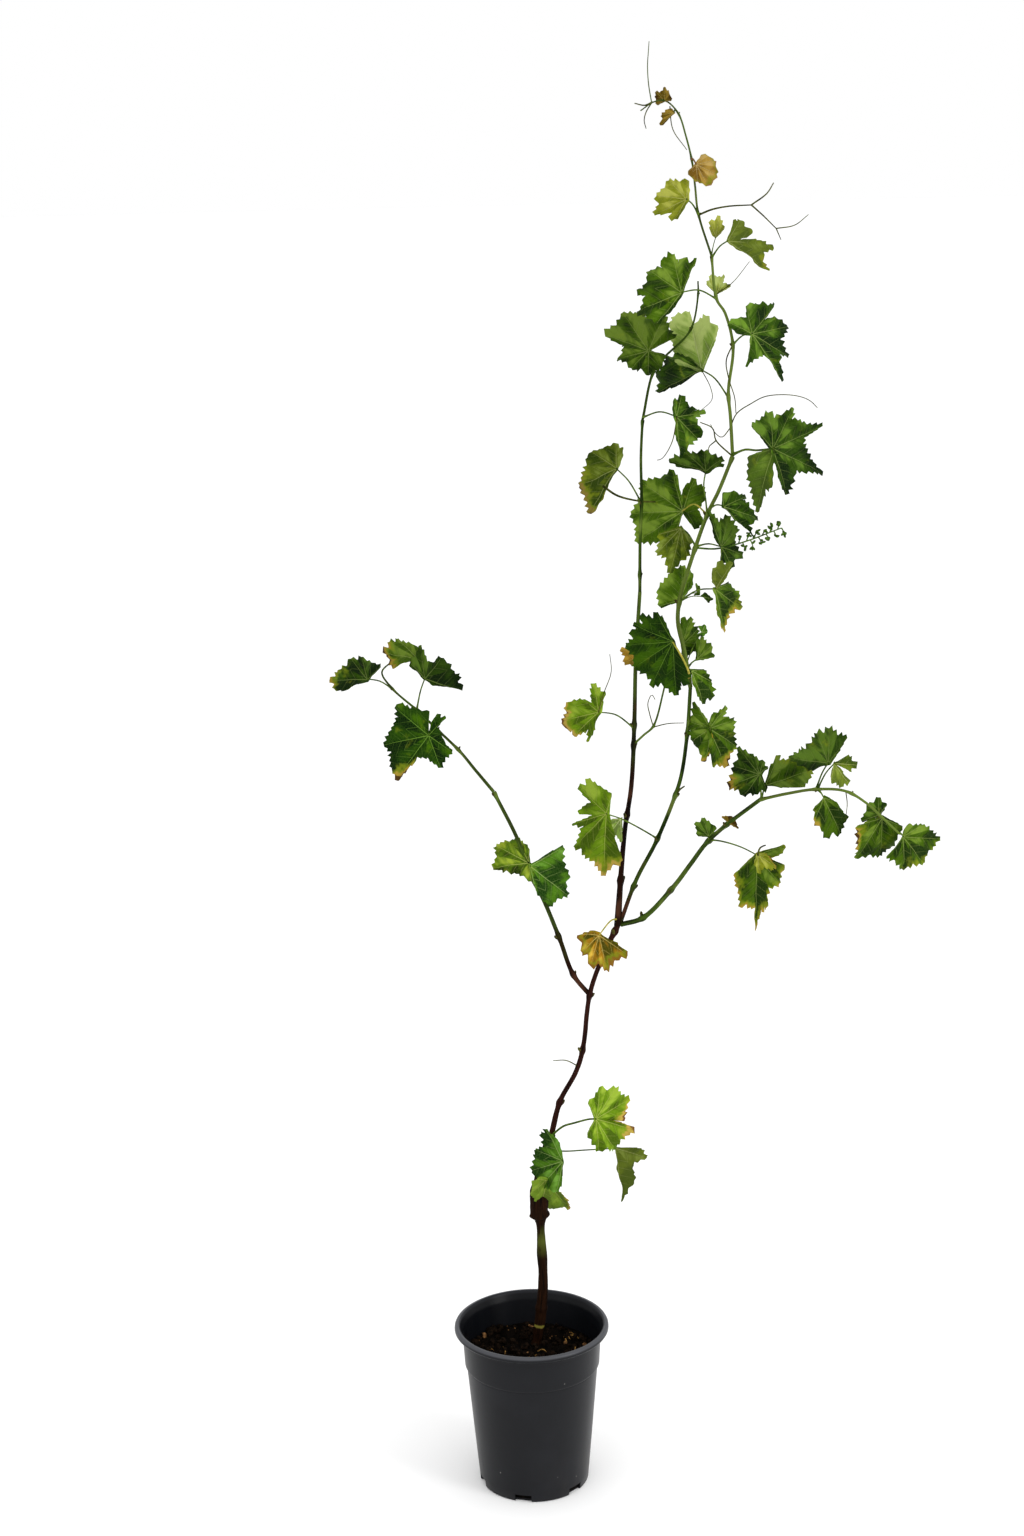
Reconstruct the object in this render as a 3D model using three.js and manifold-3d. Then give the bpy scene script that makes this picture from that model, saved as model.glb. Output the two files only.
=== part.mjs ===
// A young grafted grapevine in a black nursery pot. Millimetres, +Z up. The origin is the
// centre of the pot's flat underside, and -Y is the side that faces the viewer.
import * as THREE from 'three';
import { mergeVertices } from 'three/addons/utils/BufferGeometryUtils.js';
import Module from 'manifold-3d';

const wasm = await Module();
wasm.setup();

// Pot
const POT_HEIGHT = 186;
const BASE_RADIUS = 60.5;
const STEP_HEIGHT = 139;
const STEP_RADIUS = 72.5;
const BAND_FOOT_RADIUS = 74.2;
const BAND_TOP_RADIUS = 76.6;
const LIP_RADIUS = 85;
const LIP_HEIGHT = 6.5;
const MOUTH_RADIUS = 79;
const THROAT_RADIUS = 75;
const THROAT_DEPTH = 10;
const WALL = 2;
const FLOOR = 3;
const ROUND_SEGMENTS = 36;
const NOTCH_COUNT = 6;
const NOTCH_WIDTH = 18.5;
const NOTCH_HEIGHT = 8.5;
const NOTCH_DEPTH = 14;
const NOTCH_RADIUS = 58;
const FIRST_NOTCH_DEGREES = -102.6;

// Soil
const SOIL_LEVEL = 150;
const SOIL_FLAT_RADIUS = 36;
const SOIL_LUMP_HEIGHT = 2.4;

// Gap between pieces that touch
const GAP = 0.3;

// Stems: the length of one step along them, shorter where they curl, and their number of sides
const LIMB_STEP = 34;
const CURL_STEP = 15;
const LIMB_SIDES = 6;
const STALK_STEP = 22;
const STALK_SIDES = 5;
const STALK_RADIUS = 1.1;
const STALK_RISE = 0.1;

// Leaf blades: thickness, droop at the rim as a share of the length, depth of the bays
// between lobes, the angle between lobes that gives a full bay, and the notch at the stalk
const BLADE_THICKNESS = 3;
const BLADE_DROOP = 0.08;
const BAY_DEPTH = 0.34;
const FULL_BAY_DEGREES = 50;
const STALK_NOTCH = 3;
const BLADE_MARGIN = 1.2;

const FINISHES = {
  pot: { color: '#17181b', roughness: 0.5, metalness: 0 },
  soil: { color: '#2b221a', roughness: 1, metalness: 0 },
  bark: { color: '#4a3427', roughness: 0.85, metalness: 0 },
  shoot: { color: '#6d8440', roughness: 0.6, metalness: 0 },
  deep: { color: '#3c5c2a', roughness: 0.6, metalness: 0 },
  mid: { color: '#5a7f36', roughness: 0.6, metalness: 0 },
  fresh: { color: '#7fa244', roughness: 0.6, metalness: 0 },
  pale: { color: '#9db088', roughness: 0.7, metalness: 0 },
  olive: { color: '#7c7d3c', roughness: 0.65, metalness: 0 },
  golden: { color: '#a99a45', roughness: 0.65, metalness: 0 },
};

// Each limb has the points of its bend and its radius along them, from its foot to its tip.
const LIMBS = {
  rootstock: {
    finish: 'bark',
    radii: [7.6, 6, 5.6, 5.2, 4.6, 4.3],
    route: [[4, 22, 142], [7, 22, 160], [11, 22, 187], [14, 22, 222], [13, 22, 262], [12, 22, 300]],
  },
  graft_head: {
    finish: 'bark',
    radii: [9.6, 10.4, 9.6, 7.4, 5],
    route: [[12, 22, 300], [11, 22, 314], [13, 23, 345], [21, 25, 374], [26, 26, 397]],
  },
  brown_cane: {
    finish: 'bark',
    radii: [3.8, 3.4, 3.2, 3.1, 3, 3.2, 3.8],
    route: [[26, 26, 397], [36, 28, 434], [54, 30, 468], [62, 32, 494], [70, 34, 554], [83, 34, 593],
      [101, 34, 632]],
  },
  upper_cane: {
    finish: 'shoot',
    radii: [4, 2.9, 2.6, 2.5, 2.3, 2.1, 2],
    route: [[101, 34, 632], [105, 34, 687], [110, 34, 740], [117, 34, 786], [121, 36, 857],
      [123, 38, 921], [128, 40, 993]],
  },
  middle_shoot: {
    finish: 'shoot',
    radii: [2, 1.6],
    route: [[128, 40, 993], [129, 46, 1044], [131, 50, 1085], [131, 54, 1132], [133, 56, 1169]],
  },
  middle_shoot_top: {
    finish: 'shoot',
    radii: [1.6, 0.9],
    route: [[133, 56, 1169], [144, 58, 1216], [155, 60, 1231], [183, 62, 1259], [191, 64, 1294],
      [191, 64, 1308]],
  },
  tall_shoot: {
    finish: 'shoot',
    radii: [3, 2.6],
    route: [[104, 34, 635], [121, 26, 685], [142, 18, 729], [161, 10, 779], [168, 6, 804],
      [174, 0, 851], [177, -4, 900]],
  },
  tall_shoot_middle: {
    finish: 'shoot',
    radii: [2.6, 2.1],
    route: [[177, -4, 900], [171, 0, 938], [165, 4, 967], [167, 6, 990], [180, 8, 1033],
      [196, 8, 1078], [207, 6, 1101], [221, 4, 1136]],
  },
  tall_shoot_upper: {
    finish: 'shoot',
    radii: [2.1, 1.5],
    route: [[221, 4, 1136], [219, 6, 1175], [217, 8, 1201], [222, 12, 1245], [214, 14, 1279],
      [206, 16, 1292], [201, 20, 1335]],
  },
  tall_shoot_tip: {
    finish: 'shoot',
    curls: true,
    radii: [1.5, 0.8],
    route: [[201, 20, 1335], [188, 22, 1377], [185, 22, 1403], [182, 22, 1427], [176, 20, 1451],
      [168, 14, 1473], [155, 6, 1485], [143, 0, 1484], [130, -6, 1476]],
  },
  arching_shoot: {
    finish: 'shoot',
    radii: [2.8, 2.1],
    route: [[105, 34, 633], [127, 20, 644], [157, 0, 682], [176, -14, 713], [191, -28, 739],
      [208, -42, 760], [243, -66, 795]],
  },
  arching_shoot_end: {
    finish: 'shoot',
    radii: [2.1, 1.4],
    route: [[243, -66, 795], [269, -82, 805], [296, -98, 813], [324, -112, 814], [344, -120, 803],
      [358, -124, 790], [376, -128, 773]],
  },
  left_shoot: {
    finish: 'shoot',
    radii: [2.6, 2],
    route: [[71, 34, 553], [53, 40, 575], [39, 50, 613], [22, 58, 656], [9, 64, 681], [-4, 72, 719],
      [-29, 84, 770]],
  },
  left_shoot_end: {
    finish: 'shoot',
    curls: true,
    radii: [2, 0.9],
    route: [[-29, 84, 770], [-49, 90, 794], [-64, 96, 812], [-88, 104, 835], [-110, 110, 856],
      [-136, 116, 879], [-147, 118, 897], [-137, 118, 908]],
  },
  side_shoot: {
    finish: 'shoot',
    radii: [1.3, 0.9],
    route: [[120, 36, 831], [130, 26, 843], [140, 20, 854], [150, 16, 890], [155, 14, 915]],
  },
  top_tendril: {
    finish: 'shoot',
    curls: true,
    radii: [0.8, 0.5],
    route: [[141, 0, 1484], [138, -4, 1501], [137, -6, 1518], [138, -4, 1531], [139, 0, 1541]],
  },
};

// Each leaf grows on a limb, at a share of that limb's length. Its blade starts at base, and
// leans back by lean[0] mm for each mm to the right and by lean[1] for each mm upwards. Each
// lobe has its direction in degrees and its length, both as seen from the front. A stalk that
// isn't a plain arch goes by way of via, and a folded leaf has a second blade, its fold.
const LEAVES = {
  foot_leaf_1: {
    on: 'graft_head', at: 0.89, base: [37, -14, 382], lean: [-0.6, 0.2], finish: 'deep',
    lobes: [[-101, 33], [-127, 40], [-153, 35], [-214, 28], [-241, 35]],
    fold: {
      base: [19, -8, 357], lean: [0.2, -0.7],
      lobes: [[-52, 22], [-66, 64], [-83, 52], [-96, 46], [-134, 23], [-195, 15]],
    },
  },
  foot_leaf_2: {
    on: 'graft_head', at: 0.81, via: [[42, 23, 378], [60, 20, 380]],
    base: [96, 14, 384], lean: [0.9, 0.3], finish: 'olive',
    lobes: [[-83, 37], [-82, 59], [-65, 42], [-33, 39], [-22, 29]],
  },
  foot_leaf_3: {
    on: 'graft_head', at: 0.98, via: [[39, 14, 411], [50, 5, 418], [67, -9, 428]],
    base: [74, -14, 430], lean: [0.5, 0.4], finish: 'fresh',
    lobes: [[-132, 16], [-88, 30], [-62, 37], [-24, 47], [20, 38], [54, 32], [81, 30], [115, 19]],
  },
  cane_leaf_1: {
    on: 'upper_cane', at: 0.02, via: [[94, 24, 641]],
    base: [80, 2, 632], lean: [0, 1.1], finish: 'golden',
    lobes: [[-29, 32], [-78, 27], [-112, 26], [-143, 22], [-183, 22]],
  },
  cane_leaf_2: {
    on: 'upper_cane', at: 0.6, base: [82, 4, 874], lean: [-0.5, 0.3], finish: 'golden',
    lobes: [[-112, 32], [-136, 37], [-162, 39], [-185, 33], [-216, 17], [-261, 27], [-289, 19]],
  },
  left_leaf_1: {
    on: 'left_shoot', at: 0.66, base: [7, 58, 697], lean: [-0.5, 0.9], finish: 'pale',
    lobes: [[-85, 14], [-149, 17], [-170, 39], [-199, 37], [-242, 24], [-271, 12]],
  },
  left_leaf_2: {
    on: 'left_shoot', at: 0.62, base: [9, 52, 695], lean: [0.5, 0.5], finish: 'mid',
    lobes: [[-77, 24], [-63, 46], [-40, 52], [-18, 42], [20, 39]],
  },
  left_leaf_3: {
    on: 'left_shoot_end', at: 0.45, base: [-98, 88, 833], lean: [-0.4, 0.4], finish: 'deep',
    lobes: [[62, 24], [45, 26], [-30, 29], [-67, 33], [-128, 59], [-165, 49], [-217, 43],
      [-276, 23]],
  },
  left_leaf_4: {
    on: 'left_shoot_end', at: 0.63, base: [-100, 96, 894], lean: [0.1, 1.2], finish: 'deep',
    lobes: [[138, 20], [102, 25], [40, 21], [0, 35], [-15, 40]],
    fold: {
      base: [-107, 116, 911], lean: [0.25, 1.2],
      lobes: [[86, 8], [139, 29], [152, 34], [165, 38], [184, 27]],
    },
  },
  left_leaf_5: {
    on: 'left_shoot_end', at: 0.8, base: [-164, 132, 887], lean: [-0.3, 1.3], finish: 'deep',
    lobes: [[-165, 36], [-178, 41], [-189, 33], [-222, 23], [-250, 20], [-323, 17]],
  },
  arch_leaf_1: {
    on: 'arching_shoot', at: 0.67, via: [[207, -39, 744], [225, -51, 741]],
    base: [241, -62, 735], lean: [0.2, 0.2], finish: 'mid',
    lobes: [[-145, 28], [-110, 53], [-99, 51], [-92, 76], [-87, 56], [-81, 53], [-53, 37],
      [-26, 31], [14, 30]],
  },
  arch_leaf_2: {
    on: 'arching_shoot_end', at: 0.01, base: [240, -86, 827], lean: [-0.4, 0.8], finish: 'mid',
    lobes: [[-64, 14], [-108, 17], [-130, 25], [-160, 32], [-193, 24], [-229, 27], [-257, 14],
      [-292, 12], [-318, 10]],
  },
  arch_leaf_3: {
    on: 'arching_shoot_end', at: 0.01, base: [250, -54, 807], lean: [0.2, 1], finish: 'deep',
    lobes: [[67, 15], [56, 28], [31, 38], [12, 51], [-9, 36]],
  },
  arch_leaf_4: {
    on: 'arching_shoot_end', at: 0.39, base: [311, -76, 835], lean: [0.2, 1.4], finish: 'mid',
    lobes: [[-167, 18], [-189, 39], [-203, 27], [-250, 23], [-282, 26], [-323, 26]],
  },
  arch_leaf_5: {
    on: 'arching_shoot_end', at: 0.4, base: [312, -112, 843], lean: [0.6, 0.8], finish: 'olive',
    lobes: [[-29, 18], [-10, 25], [10, 16]],
    fold: { base: [312, -112, 843], lean: [0.5, 0.3], lobes: [[-53, 26], [-70, 24], [-100, 17]] },
  },
  arch_leaf_6: {
    on: 'arching_shoot_end', at: 0.4, base: [303, -106, 806], lean: [0.4, 0.3], finish: 'mid',
    lobes: [[-141, 12], [-115, 22], [-85, 37], [-64, 39], [-45, 32], [-19, 11]],
  },
  arch_leaf_7: {
    on: 'arching_shoot_end', at: 0.84, base: [357, -116, 790], lean: [-0.3, 1], finish: 'deep',
    lobes: [[-163, 18], [-224, 12], [-273, 14], [-313, 12]],
  },
  arch_leaf_8: {
    on: 'arching_shoot_end', at: 0.86, base: [360, -119, 787], lean: [0.3, -0.2], finish: 'mid',
    lobes: [[-30, 25], [-69, 36], [-88, 42], [-118, 49], [-164, 24]],
  },
  arch_leaf_9: {
    on: 'arching_shoot_end', at: 0.99, base: [381, -121, 768], lean: [0.4, 0.1], finish: 'fresh',
    lobes: [[74, 12], [28, 20], [-11, 41], [-54, 35], [-91, 31], [-135, 24]],
  },
  tall_leaf_1: {
    on: 'tall_shoot', at: 0.38, via: [[126, 7, 746], [105, -6, 761]],
    base: [88, -16, 770], lean: [-0.4, 0.3], finish: 'fresh',
    lobes: [[-75, 47], [-95, 61], [-119, 48], [-134, 49], [-160, 38], [-179, 28], [-221, 37],
      [-241, 37], [-286, 19]],
    fold: { base: [104, -8, 762], lean: [0.6, 0.2], lobes: [[-88, 23], [-131, 16], [-181, 15]] },
  },
  tall_leaf_2: {
    on: 'tall_shoot', at: 0.82, via: [[187, -17, 861]],
    base: [196, -18, 859], lean: [0.6, 0.3], finish: 'mid',
    lobes: [[-85, 37], [-66, 43], [-36, 36], [10, 24], [46, 24], [74, 13]],
    fold: {
      base: [196, -18, 859], lean: [-0.9, 0.2],
      lobes: [[-100, 34], [-138, 24], [-192, 18], [-242, 27]],
    },
  },
  tall_leaf_3: {
    on: 'tall_shoot_middle', at: 0.04, via: [[172, -36, 926], [165, -38, 941]],
    base: [157, -34, 954], lean: [-0.3, -0.25], finish: 'deep',
    lobes: [[-66, 38], [-74, 49], [-87, 59], [-113, 55], [-142, 46], [-173, 46], [-193, 42],
      [-204, 42], [-221, 41], [-240, 33], [-248, 26]],
  },
  tall_leaf_4: {
    on: 'tall_shoot_middle', at: 0.06, base: [178, -14, 920], lean: [0.9, 0.4], finish: 'mid',
    lobes: [[-79, 23], [-69, 36], [-55, 36], [-39, 23], [-13, 10]],
  },
  tall_leaf_5: {
    on: 'tall_shoot_middle', at: 0.08, base: [185, 4, 928], lean: [0.6, 0.7], finish: 'mid',
    lobes: [[-4, 17], [33, 18], [71, 20], [86, 17]],
  },
  tall_leaf_6: {
    on: 'tall_shoot_middle', at: 0.38, base: [169, 22, 987], lean: [0.4, 0.4], finish: 'mid',
    lobes: [[42, 17], [61, 29], [81, 33], [101, 30], [190, 21]],
  },
  tall_leaf_7: {
    on: 'tall_shoot_middle', at: 0.36, base: [201, -30, 1007], lean: [0.9, 0.2], finish: 'fresh',
    lobes: [[-79, 40], [-74, 46], [-40, 38], [-19, 29], [7, 18]],
    fold: {
      base: [201, -30, 1007], lean: [-0.9, -0.3],
      lobes: [[110, 8], [87, 28], [66, 29], [53, 10]],
    },
  },
  tall_leaf_8: {
    on: 'tall_shoot_middle', at: 0.6, base: [171, 34, 1060], lean: [0.4, 0.6], finish: 'olive',
    lobes: [[-41, 16], [-79, 26], [-107, 41], [-140, 31], [-171, 22]],
  },
  tall_leaf_9: {
    on: 'tall_shoot_middle', at: 0.6, base: [209, -8, 1046], lean: [0.8, 0.3], finish: 'deep',
    lobes: [[-91, 13], [-60, 24], [-26, 24], [44, 21], [74, 29], [106, 38]],
  },
  tall_leaf_10: {
    on: 'tall_shoot_middle', at: 0.74, via: [[184, 28, 1085]],
    base: [173, 44, 1076], lean: [-0.5, 0.4], finish: 'mid',
    lobes: [[-111, 31], [-146, 57], [-176, 54], [-213, 50], [-254, 42], [-288, 34], [-308, 31]],
  },
  tall_leaf_11: {
    on: 'tall_shoot_middle', at: 0.77, base: [211, -12, 1088], lean: [0.5, 0.9], finish: 'deep',
    lobes: [[-47, 17], [-46, 40], [-19, 38], [17, 26], [91, 11]],
  },
  tall_leaf_12: {
    on: 'tall_shoot_middle', at: 0.74, via: [[194, 7, 1092], [192, 7, 1107]],
    base: [194, 6, 1122], lean: [-0.4, 0.9], finish: 'olive',
    lobes: [[16, 17], [35, 20], [92, 17], [138, 25], [166, 36]],
  },
  tall_leaf_13: {
    on: 'tall_shoot_upper', at: 0.01, via: [[233, -6, 1144], [243, -14, 1144]],
    base: [259, -26, 1147], lean: [0.5, 0.5], finish: 'deep',
    lobes: [[-72, 44], [-26, 60], [18, 57], [57, 44], [92, 34], [132, 31]],
    fold: {
      base: [259, -26, 1147], lean: [-0.7, 0.3],
      lobes: [[-94, 21], [-95, 38], [-105, 46], [-108, 64], [-156, 21]],
    },
  },
  tall_leaf_14: {
    on: 'tall_shoot_upper', at: 0.29, base: [193, 46, 1220], lean: [-0.3, 0.6], finish: 'pale',
    lobes: [[167, 23], [124, 52], [101, 58], [83, 52], [65, 43], [61, 27]],
    fold: {
      base: [193, 46, 1220], lean: [-0.6, -0.8],
      lobes: [[-146, 51], [-167, 46], [-196, 37], [-211, 29], [-223, 15]],
    },
  },
  tall_leaf_15: {
    on: 'tall_shoot_upper', at: 0.55, base: [239, -16, 1260], lean: [0.6, 0.6], finish: 'deep',
    lobes: [[-102, 27], [-54, 54], [-29, 44], [8, 39], [44, 41], [98, 26], [149, 24]],
  },
  tall_leaf_16: {
    on: 'tall_shoot_upper', at: 0.79, base: [207, 28, 1297], lean: [0.3, 0.9], finish: 'pale',
    lobes: [[137, 13], [105, 18], [59, 21], [22, 15]],
  },
  tall_leaf_17: {
    on: 'tall_shoot_upper', at: 0.79, base: [168, -20, 1302], lean: [-0.5, 0.7], finish: 'fresh',
    lobes: [[-133, 36], [-160, 47], [-181, 42], [-216, 38], [-258, 37], [-294, 36]],
  },
  tall_leaf_18: {
    on: 'tall_shoot_upper', at: 0.99, base: [216, 2, 1350], lean: [0.7, 0.7], finish: 'fresh',
    lobes: [[66, 21], [52, 25], [16, 26], [-5, 37], [-11, 48], [-33, 52], [-36, 24]],
  },
  tall_leaf_19: {
    on: 'tall_shoot_tip', at: 0.22, base: [175, 6, 1391], lean: [-0.6, 0.5], finish: 'golden',
    lobes: [[-120, 21], [-157, 33], [-187, 27], [-229, 21], [-280, 16]],
  },
  tall_leaf_20: {
    on: 'tall_shoot_tip', at: 0.5, base: [185, 8, 1424], lean: [-0.5, 0.4], finish: 'golden',
    lobes: [[-140, 10], [-88, 15], [-63, 21], [-26, 20], [14, 16], [56, 11]],
  },
  middle_leaf_1: {
    on: 'middle_shoot', at: 0.52, base: [106, 72, 1118], lean: [-0.9, 0.4], finish: 'olive',
    lobes: [[-125, 56], [-152, 42], [-211, 26], [-266, 24], [-289, 21]],
  },
  middle_leaf_2: {
    on: 'middle_shoot_top', at: 0.02, base: [166, 16, 1176], lean: [0.8, 0.2], finish: 'deep',
    lobes: [[-84, 41], [-50, 29], [2, 27], [74, 20], [101, 16]],
  },
  middle_leaf_3: {
    on: 'middle_shoot_top', at: 0.31, base: [138, 30, 1242], lean: [-0.3, 0.8], finish: 'fresh',
    lobes: [[-13, 16], [-95, 20], [-141, 22], [-167, 32], [-201, 45], [-237, 44], [-296, 38],
      [-334, 29]],
  },
};

const plant = new THREE.Group();
const placed = [];

// A closed geometry with shared corners and no empty triangles
function weld(geometry) {
  geometry.deleteAttribute('normal');
  geometry.deleteAttribute('uv');
  const welded = mergeVertices(geometry);
  const corners = welded.index.array;
  const kept = [];
  for (let i = 0; i < corners.length; i += 3) {
    const [a, b, c] = corners.slice(i, i + 3);
    if (a !== b && b !== c && c !== a) {
      kept.push(a, b, c);
    }
  }
  welded.setIndex(kept);
  return welded;
}

function toSolid(geometry) {
  return new wasm.Manifold(new wasm.Mesh({
    numProp: 3,
    vertProperties: new Float32Array(geometry.attributes.position.array),
    triVerts: new Uint32Array(geometry.index.array),
  }));
}

function toMesh(name, solid, finish) {
  const { vertProperties, triVerts } = solid.getMesh();
  const geometry = new THREE.BufferGeometry();
  geometry.setAttribute('position', new THREE.BufferAttribute(vertProperties, 3));
  geometry.setIndex(new THREE.BufferAttribute(triVerts, 1));
  geometry.computeVertexNormals();
  const mesh = new THREE.Mesh(geometry, new THREE.MeshStandardMaterial(FINISHES[finish]));
  mesh.name = name;
  return mesh;
}

function moveVertices(geometry, move) {
  const position = geometry.attributes.position;
  const vertex = new THREE.Vector3();
  for (let i = 0; i < position.count; i += 1) {
    const moved = move(vertex.fromBufferAttribute(position, i));
    position.setXYZ(i, moved.x, moved.y, moved.z);
  }
  return geometry;
}

function largestPiece(solid) {
  const pieces = solid.decompose();
  return pieces.reduce((best, piece) => (piece.volume() > best.volume() ? piece : best));
}

// Adds a piece, cut clear of the pieces placed before it. make(grow) gives the piece's solid
// with its skin moved out by grow.
function place(name, finish, make) {
  let solid = make(0);
  for (const earlier of placed) {
    solid = solid.subtract(earlier);
  }
  plant.add(toMesh(name, largestPiece(solid), finish));
  placed.push(make(GAP));
}

// A round limb along a curve. Its radius runs evenly through the list of radii.
function bendLimb(route, radii, sides, step, grow) {
  const curve = new THREE.CatmullRomCurve3(route.map((point) => new THREE.Vector3(...point)));
  const steps = Math.max(2, Math.round(curve.getLength() / step));
  const { tangents, normals, binormals } = curve.computeFrenetFrames(steps);
  const rings = tangents.map((tangent, ring) => {
    const share = curve.getUtoTmapping(ring / steps);
    const place = share * (radii.length - 1);
    const from = Math.min(Math.floor(place), radii.length - 2);
    const radius = THREE.MathUtils.lerp(radii[from], radii[from + 1], place - from) + grow;
    const overshoot = grow * (Number(ring === steps) - Number(ring === 0));
    const centre = curve.getPoint(share).addScaledVector(tangent, overshoot);
    return { radius, centre };
  });
  const tube = weld(new THREE.CylinderGeometry(1, 1, 1, sides, steps));
  return moveVertices(tube, ({ x, y, z }) => {
    const ring = Math.round((y + 0.5) * steps);
    const { radius, centre } = rings[ring];
    return centre.clone()
      .addScaledVector(normals[ring], x * radius)
      .addScaledVector(binormals[ring], -z * radius);
  });
}

// The rim of a leaf as directions and distances from its base, anticlockwise: the tips of the
// lobes, a bay between each two of them, and the notch where the stalk joins
function leafRim(lobes) {
  const rim = [];
  lobes.forEach(([direction, length], i) => {
    rim.push([direction, length]);
    if (i + 1 < lobes.length) {
      const [nextDirection, nextLength] = lobes[i + 1];
      const spread = Math.abs(nextDirection - direction) / FULL_BAY_DEGREES;
      const depth = 1 - BAY_DEPTH * Math.min(1, spread);
      rim.push([(direction + nextDirection) / 2, ((length + nextLength) / 2) * depth]);
    }
  });
  const first = lobes[0][0];
  const last = lobes[lobes.length - 1][0];
  rim.push([(first + last) / 2 + 180, STALK_NOTCH]);
  return last > first ? rim : rim.reverse();
}

// A thin blade that droops from its base to its rim
function blade({ base, lean, lobes }, grow) {
  const rim = leafRim(lobes);
  const longest = Math.max(...lobes.map(([, length]) => length));
  const outward = new THREE.Vector3(lean[0], -1, lean[1]).normalize();
  const plate = weld(new THREE.CylinderGeometry(1, 1, 1, rim.length, 1));
  const margin = grow > 0 ? BLADE_MARGIN : 0;
  return moveVertices(plate, ({ x, y, z }) => {
    const corner = Math.round((Math.atan2(x, z) / (2 * Math.PI)) * rim.length);
    const [direction, length] = rim[(corner + rim.length) % rim.length];
    const reach = Math.hypot(x, z) > 0.5 ? length + margin : 0;
    const right = reach * Math.cos(THREE.MathUtils.degToRad(direction));
    const up = reach * Math.sin(THREE.MathUtils.degToRad(direction));
    const droop = BLADE_DROOP * longest * Math.min(1, reach / longest) ** 2;
    const side = Math.sign(y) * (BLADE_THICKNESS / 2 + grow);
    return new THREE.Vector3(...base)
      .add(new THREE.Vector3(right, lean[0] * right + lean[1] * up, up))
      .addScaledVector(outward, side - droop);
  });
}

// The stalk's points, from the middle of its limb to the base of the blade
function stalkRoute({ on, at, base, via }) {
  const limb = new THREE.CatmullRomCurve3(LIMBS[on].route.map((point) => new THREE.Vector3(...point)));
  const foot = limb.getPointAt(at);
  if (via) {
    return [foot.toArray(), ...via, base];
  }
  const tip = new THREE.Vector3(...base);
  const middle = foot.clone().lerp(tip, 0.5);
  middle.z += STALK_RISE * foot.distanceTo(tip);
  return [foot.toArray(), middle.toArray(), base];
}

function leafSolid(leaf, grow) {
  const stalk = bendLimb(stalkRoute(leaf), [STALK_RADIUS, STALK_RADIUS], STALK_SIDES, STALK_STEP, grow);
  let solid = toSolid(blade(leaf, grow)).add(toSolid(stalk));
  if (leaf.fold) {
    solid = solid.add(toSolid(blade(leaf.fold, grow)));
  }
  return solid;
}

function turned(profile) {
  const outline = profile.map(([radius, height]) => new THREE.Vector2(radius, height));
  const geometry = weld(new THREE.LatheGeometry(outline, ROUND_SEGMENTS));
  return geometry.rotateX(Math.PI / 2);
}

// The pot: a tapered wall, a wider band above the step, and a rolled lip
function potSolid() {
  const lipFoot = POT_HEIGHT - LIP_HEIGHT;
  let pot = toSolid(turned([
    [0, 0],
    [BASE_RADIUS, 0],
    [STEP_RADIUS, STEP_HEIGHT],
    [BAND_FOOT_RADIUS, STEP_HEIGHT + 1],
    [BAND_TOP_RADIUS, lipFoot],
    [LIP_RADIUS - 1, lipFoot],
    [LIP_RADIUS, lipFoot + 1.5],
    [LIP_RADIUS, POT_HEIGHT - 1.5],
    [LIP_RADIUS - 1.5, POT_HEIGHT],
    [MOUTH_RADIUS + 1.5, POT_HEIGHT],
    [MOUTH_RADIUS, POT_HEIGHT - 1],
    [THROAT_RADIUS, POT_HEIGHT - THROAT_DEPTH],
    [BAND_FOOT_RADIUS - WALL, STEP_HEIGHT + 2],
    [STEP_RADIUS - WALL, STEP_HEIGHT - 1],
    [BASE_RADIUS - WALL, FLOOR],
    [0, FLOOR],
  ]));
  for (let i = 0; i < NOTCH_COUNT; i += 1) {
    const notch = weld(new THREE.BoxGeometry(NOTCH_DEPTH, NOTCH_WIDTH, 2 * NOTCH_HEIGHT));
    notch.translate(NOTCH_RADIUS, 0, 0);
    notch.rotateZ(THREE.MathUtils.degToRad(FIRST_NOTCH_DEGREES + (i * 360) / NOTCH_COUNT));
    pot = pot.subtract(toSolid(notch));
  }
  return pot;
}

// The soil: a plug that follows the inside of the pot, lumpy on top round a flat middle
function soilSolid(grow) {
  const wallShare = (SOIL_LEVEL - STEP_HEIGHT) / (POT_HEIGHT - THROAT_DEPTH - STEP_HEIGHT);
  const brim = THREE.MathUtils.lerp(BAND_FOOT_RADIUS - WALL, THROAT_RADIUS, wallShare) - 2 * GAP;
  const soil = turned([
    [0, FLOOR + GAP],
    [BASE_RADIUS - WALL - GAP, FLOOR + GAP],
    [STEP_RADIUS - WALL - GAP, STEP_HEIGHT - 1],
    [BAND_FOOT_RADIUS - WALL - GAP, STEP_HEIGHT + 2],
    [brim, SOIL_LEVEL - 1 + grow],
    [brim * 0.88, SOIL_LEVEL + grow],
    [brim * 0.68, SOIL_LEVEL + grow],
    [SOIL_FLAT_RADIUS, SOIL_LEVEL + grow],
    [0, SOIL_LEVEL + grow],
  ]);
  return toSolid(moveVertices(soil, (vertex) => {
    const distance = Math.hypot(vertex.x, vertex.y);
    const onTop = vertex.z > SOIL_LEVEL - 0.5 && distance > SOIL_FLAT_RADIUS + 1;
    const lump = Math.sin(vertex.x / 7) * Math.cos(vertex.y / 9) * SOIL_LUMP_HEIGHT;
    vertex.z += onTop ? lump : 0;
    return vertex;
  }));
}

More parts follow.
